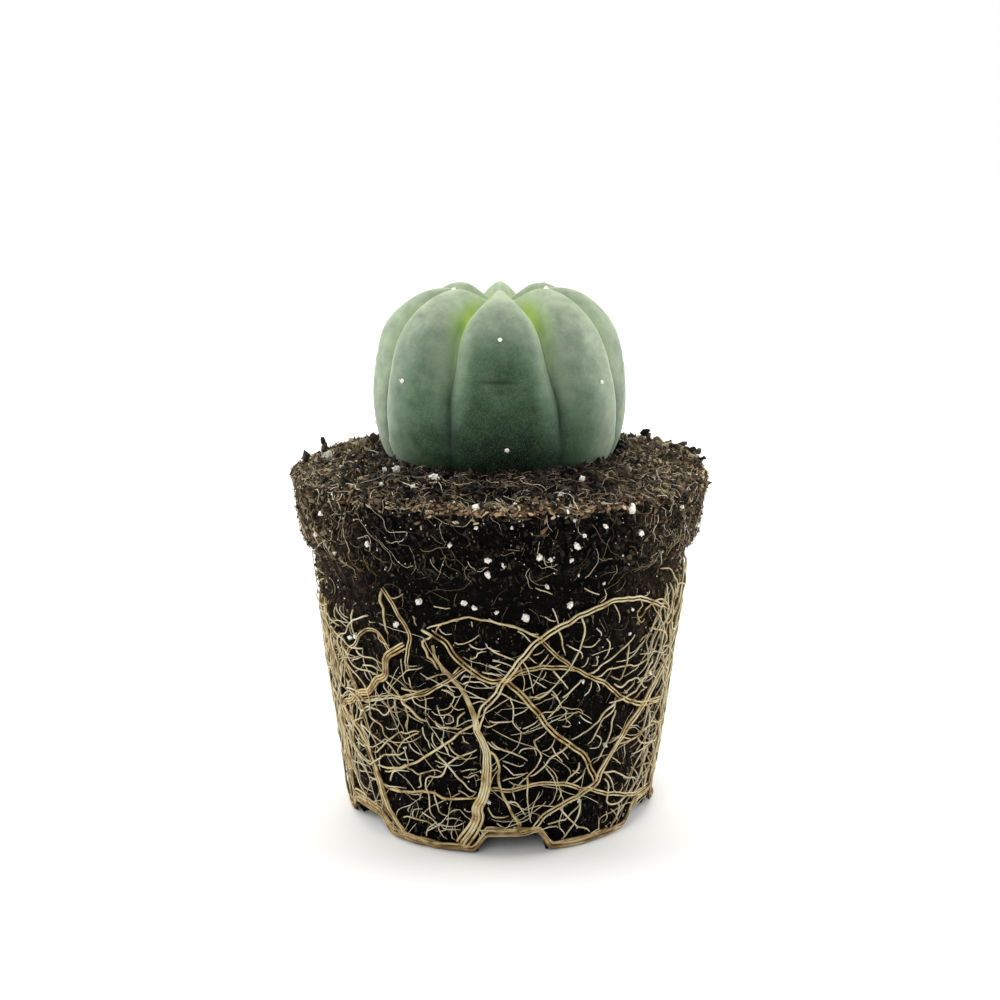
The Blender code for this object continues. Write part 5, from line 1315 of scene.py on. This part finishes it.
places -= outward * sink[:, None]
places[:, 2] -= np.array(RIB_DROPS)[rib] * on_crest * passed(heights, DROP_HEIGHTS)
stem.data.vertices.foreach_set("co", places.astype(np.float32).ravel())
stem.data.update()

# What the skin's material reads: how young the skin is, how pale its bloom and painted light make it, and how near a
# crease or a fold it is, for painted shade there
upper = heights > STEM_WAIST
young = np.clip((across - read_off(GREY_ACROSS, radii / MM)) / GREEN_EDGE, 0.0, 1.0) ** GREENING
young = np.where(upper, young * read_off(YOUNG, heights / MM), 0.0) * read_off(YOUNG_CROWN, radii / MM)
bloom_and_painted_light = read_off(BLOOM_AND_SHADE_BY_HEIGHT, heights / MM)
# Painted light on the skin: painted side light makes the sides paler, more so on the right, painted shade darkens the
# front under the upper areole, and a painted highlight lies along the ribs' upper flanks.
side_light_toward_right = STEM_SIDE_LIGHT_RIGHT * np.sin(np.radians(bearings))
front_shade = np.exp(-((aside / FRONT_SHADE_WIDTH) ** 4) - ((heights / MM - FRONT_SHADE_HEIGHT) / FRONT_SHADE_REACH) ** 4)
bloom_and_painted_light += (SKIN_PALEST - bloom_and_painted_light) * read_off(STEM_SIDE_LIGHT_ASIDE, aside + side_light_toward_right) - FRONT_SHADE * front_shade
flank_highlight = read_off(FLANK_HIGHLIGHT_ACROSS, across) * read_off(FLANK_HIGHLIGHT_HEIGHTS, heights / MM)
bloom_and_painted_light += (SKIN_PALEST - bloom_and_painted_light) * FLANK_HIGHLIGHT * flank_highlight
crease = across**CREASE_SHARPNESS * passed(heights / MM, CREASE_HEIGHTS) * (heights > CREASE_FOOT)
for name, values in (("young", young), ("crease", crease), ("bloom_and_painted_light", bloom_and_painted_light), ("fold", fold)):
    add_fact(stem.data, name, values)

# Cactus skin under its wax: grey green, paler up high and to the sides and darker towards the foot and in front, which
# is partly bloom and partly painted light, with a sheen that shows most edge on, dotted with fine pale breathing pores,
# darkened by painted shade in its creases and folds, and yellow green where the young tissue in the valleys has little
# wax.
skin, shader = new_material("waxy_cactus_skin", Roughness=0.5, Specular_IOR_Level=0.12, Subsurface_Weight=0.15,
                            Subsurface_Radius=(0.5, 1.0, 0.3), Subsurface_Scale=2.0 * MM, Sheen_Weight=0.5,
                            Sheen_Roughness=0.3, Sheen_Tint=linear("#D5E2CC"))
surface = add_node(skin, "TexCoord").outputs["Object"]
bloom_and_painted_light_fact = add_node(skin, "Attribute", attribute_name="bloom_and_painted_light").outputs["Fac"]
young = add_node(skin, "Attribute", attribute_name="young").outputs["Fac"]
crease = add_node(skin, "Attribute", attribute_name="crease").outputs["Fac"]
fold = add_node(skin, "Attribute", attribute_name="fold").outputs["Fac"]
bloom = add_node(skin, "TexNoise", {"Vector": surface, "Scale": 1 / (4 * MM), "Detail": 6.0, "Roughness": 0.65})
uneven = add_node(skin, "Math", {0: bloom, 1: 0.5}, operation="MULTIPLY_ADD")
uneven.inputs[2].default_value = -0.25
height_colour = add_node(skin, "Math", {0: bloom_and_painted_light_fact, 1: uneven}, operation="ADD")
# The body's ramp goes from a near black green to a pale grey green as the bloom and painted light above rise.
body = add_node(skin, "ValToRGB", {"Fac": height_colour},
                stops=((0.0, "#07140A"), (0.14, "#172C19"), (0.3, "#2B402A"), (0.42, "#3D523E"), (0.55, "#4C614C"),
                       (0.75, "#6E7C6A"), (1.0, "#9BA88B")))
fresh = add_node(skin, "ValToRGB", {"Fac": young},
                 stops=((0.0, "#9CB287"), (0.35, "#98B173"), (0.7, "#8CA755"), (1.0, "#8BA546")))
greened = add_node(skin, "Mix", {"Factor": young, "A": body, "B": fresh}, data_type="RGBA")
pores = add_node(skin, "TexVoronoi", {"Vector": surface, "Scale": 1 / (0.38 * MM)})
dots = add_node(skin, "MapRange", {"Value": pores.outputs["Distance"], "From Min": 0.15, "From Max": 0.5,
                                   "To Min": 0.08, "To Max": 0.0})
dotted = add_node(skin, "Mix", {"Factor": dots, "A": greened.outputs["Result"], "B": linear("#A9BFA0")},
                  data_type="RGBA")
# Painted shade: darker in the creases of the lower valleys and along the chin folds.
painted_crease_and_fold_shade = add_node(skin, "Math", {0: fold, 1: crease}, operation="ADD")
painted_crease_and_fold_shade = add_node(skin, "Math", {0: painted_crease_and_fold_shade, 1: 0.9}, operation="MULTIPLY")
shaded_in_folds_and_creases = add_node(skin, "Mix", {"Factor": painted_crease_and_fold_shade, "A": dotted.outputs["Result"], "B": linear("#15251A")},
                  data_type="RGBA")
link(skin, shaded_in_folds_and_creases.outputs["Result"], shader.inputs["Base Color"])
bump = add_node(skin, "Bump", {"Height": pores.outputs["Distance"], "Strength": 0.15, "Distance": 0.1 * MM})
link(skin, bump, shader.inputs["Normal"])
dress(stem, skin)
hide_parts("cactus_stem")

# The areoles: on each rib's crest a spine cushion without spines, a millimetre of white wool in a shallow dent.
# On each rib: share of the way from its waist to its highest place, below 0 under it
AREOLES = ((0.44, -0.19), (0.97, 0.15), (0.50, -0.10), (0.92, 0.25), (0.97, 0.32), (0.60, -0.05), (0.46, -0.16),
           (0.97, 0.16))
WOOL_HAIRS = 34
WOOL_LENGTH = 0.75  # of a hair, in mm
WOOL_GIRTH = 0.07  # mm, the radius of a hair
WOOL_SPREAD = 0.75  # of the hairs' tilt, in radians
TUFT_SIZE = (0.9, 1.3)  # of a tuft, over the one that is modelled
CROWN_WOOL = 1.3 * MM  # from the middle of the crown to its youngest areoles
skin_surface = BVHTree.FromObject(stem, bpy.context.evaluated_depsgraph_get())
draw = random.Random(37)
bpy.ops.object.select_all(action="DESELECT")
hairs = []
for _ in range(WOOL_HAIRS):
    tilt = Euler((draw.gauss(0.0, WOOL_SPREAD), draw.gauss(0.0, WOOL_SPREAD), draw.uniform(0.0, math.tau)))
    length = WOOL_LENGTH * draw.uniform(0.6, 1.2)
    away = tilt.to_matrix() @ Vector((0.0, 0.0, 0.5 * length))
    bpy.ops.mesh.primitive_cone_add(vertices=3, radius1=WOOL_GIRTH, depth=length, rotation=tilt, location=away)
    hairs.append(bpy.context.object)
bpy.ops.mesh.primitive_ico_sphere_add(subdivisions=2, radius=0.5, scale=(1.0, 1.0, 0.5))
hairs.append(bpy.context.object)
for hair in hairs:
    hair.select_set(True)
bpy.ops.object.join()
bpy.ops.object.transform_apply(location=True, rotation=True, scale=True)
tuft = shape_of(bpy.context.object)
areoles = []
for crest, shares in zip(RIB_CRESTS, AREOLES):
    for share in shares:
        radius, height = crest_at(0.5 * math.pi * share)
        areoles.append(at_azimuth(crest + LEAN * passed(height, LEAN_HEIGHTS), radius, height))
areoles += [at_azimuth(crest, CROWN_WOOL, STEM_TOP) for crest in RIB_CRESTS]
tuft_places = []
for areole in areoles:
    spot, facing, _, _ = skin_surface.find_nearest(areole)
    size = Matrix.Scale(draw.uniform(*TUFT_SIZE) * MM, 4)
    tuft_places.append((0, upright(spot, facing) @ size, draw.random()))
wool_tufts = copies("areole_wool", [tuft], tuft_places, smooth=True)

# Areole wool: short dense plant hair, white going ivory, which glows at its edges.
wool, shader = new_material("areole_wool_white", Base_Color=linear("#EFECDF"), Roughness=1.0, Sheen_Weight=0.6,
                            Sheen_Roughness=0.4)
dress(wool_tufts, wool)

# The studio: a plain pale floor, soft light from above and from both sides, and a weak fill from the front. The
# camera sees the backdrop pure white, but little light comes from it.
FLOOR_RADIUS = 6.0  # metres
BACKDROP_LIGHT = 0.22
# Name, azimuth and elevation in degrees, power, and how wide the light is in degrees
LIGHTS = (("light_above", 180.0, 62.0, 2.6, 60.0), ("light_left", -105.0, 22.0, 2.7, 50.0),
          ("light_right", 105.0, 22.0, 2.7, 50.0), ("light_front", -12.0, 36.0, 1.4, 40.0))
CAMERA_PLACE = (0.0, -0.384, 0.1632)
CAMERA_TILT = 77.13  # degrees up from straight down
CAMERA_LENS, CAMERA_SENSOR = 58.37, 36.0  # mm
CAMERA_NEAR = 0.01

bpy.ops.object.select_all(action="DESELECT")
bpy.ops.mesh.primitive_circle_add(vertices=96, radius=FLOOR_RADIUS, fill_type="NGON", location=(0, 0, 0))
floor = bpy.context.object
floor.name = "floor"
paper, shader = new_material("floor_paper", Base_Color=linear("#F0F0EE"), Roughness=0.9)
floor.data.materials.append(paper)

world = bpy.data.worlds.new("studio")
bpy.context.scene.world = world
world.use_nodes = True
backdrop = world.node_tree.nodes["Background"]
backdrop.inputs["Color"].default_value = linear("#FFFFFF")
backdrop.inputs["Strength"].default_value = BACKDROP_LIGHT
seen = world.node_tree.nodes.new("ShaderNodeBackground")
seen.inputs["Color"].default_value = linear("#FFFFFF")
ray = world.node_tree.nodes.new("ShaderNodeLightPath")
either = world.node_tree.nodes.new("ShaderNodeMixShader")
world.node_tree.links.new(ray.outputs["Is Camera Ray"], either.inputs[0])
world.node_tree.links.new(backdrop.outputs[0], either.inputs[1])
world.node_tree.links.new(seen.outputs[0], either.inputs[2])
world.node_tree.links.new(either.outputs[0], world.node_tree.nodes["World Output"].inputs["Surface"])


def soft_light(name, azimuth, elevation, power, spread):
    """A wide soft light that shines from an azimuth and an elevation in degrees."""
    light = bpy.data.lights.new(name, "SUN")
    light.energy = power
    light.angle = math.radians(spread)
    lamp = bpy.data.objects.new(name, light)
    toward = Vector((math.sin(math.radians(azimuth)) * math.cos(math.radians(elevation)),
                     -math.cos(math.radians(azimuth)) * math.cos(math.radians(elevation)),
                     math.sin(math.radians(elevation))))
    lamp.rotation_euler = toward.to_track_quat("Z", "Y").to_euler()
    bpy.context.scene.collection.objects.link(lamp)


for name, azimuth, elevation, power, spread in LIGHTS:
    soft_light(name, azimuth, elevation, power, spread)

# The camera stands in front, a little above the stem, and looks down 13 degrees.
camera = bpy.data.objects.new("camera", bpy.data.cameras.new("camera"))
camera.location = CAMERA_PLACE
camera.rotation_euler = (math.radians(CAMERA_TILT), 0.0, 0.0)
camera.data.lens = CAMERA_LENS
camera.data.sensor_width = CAMERA_SENSOR
camera.data.clip_start = CAMERA_NEAR
bpy.context.scene.collection.objects.link(camera)
bpy.context.scene.camera = camera
bpy.context.scene.view_settings.view_transform = "Standard"
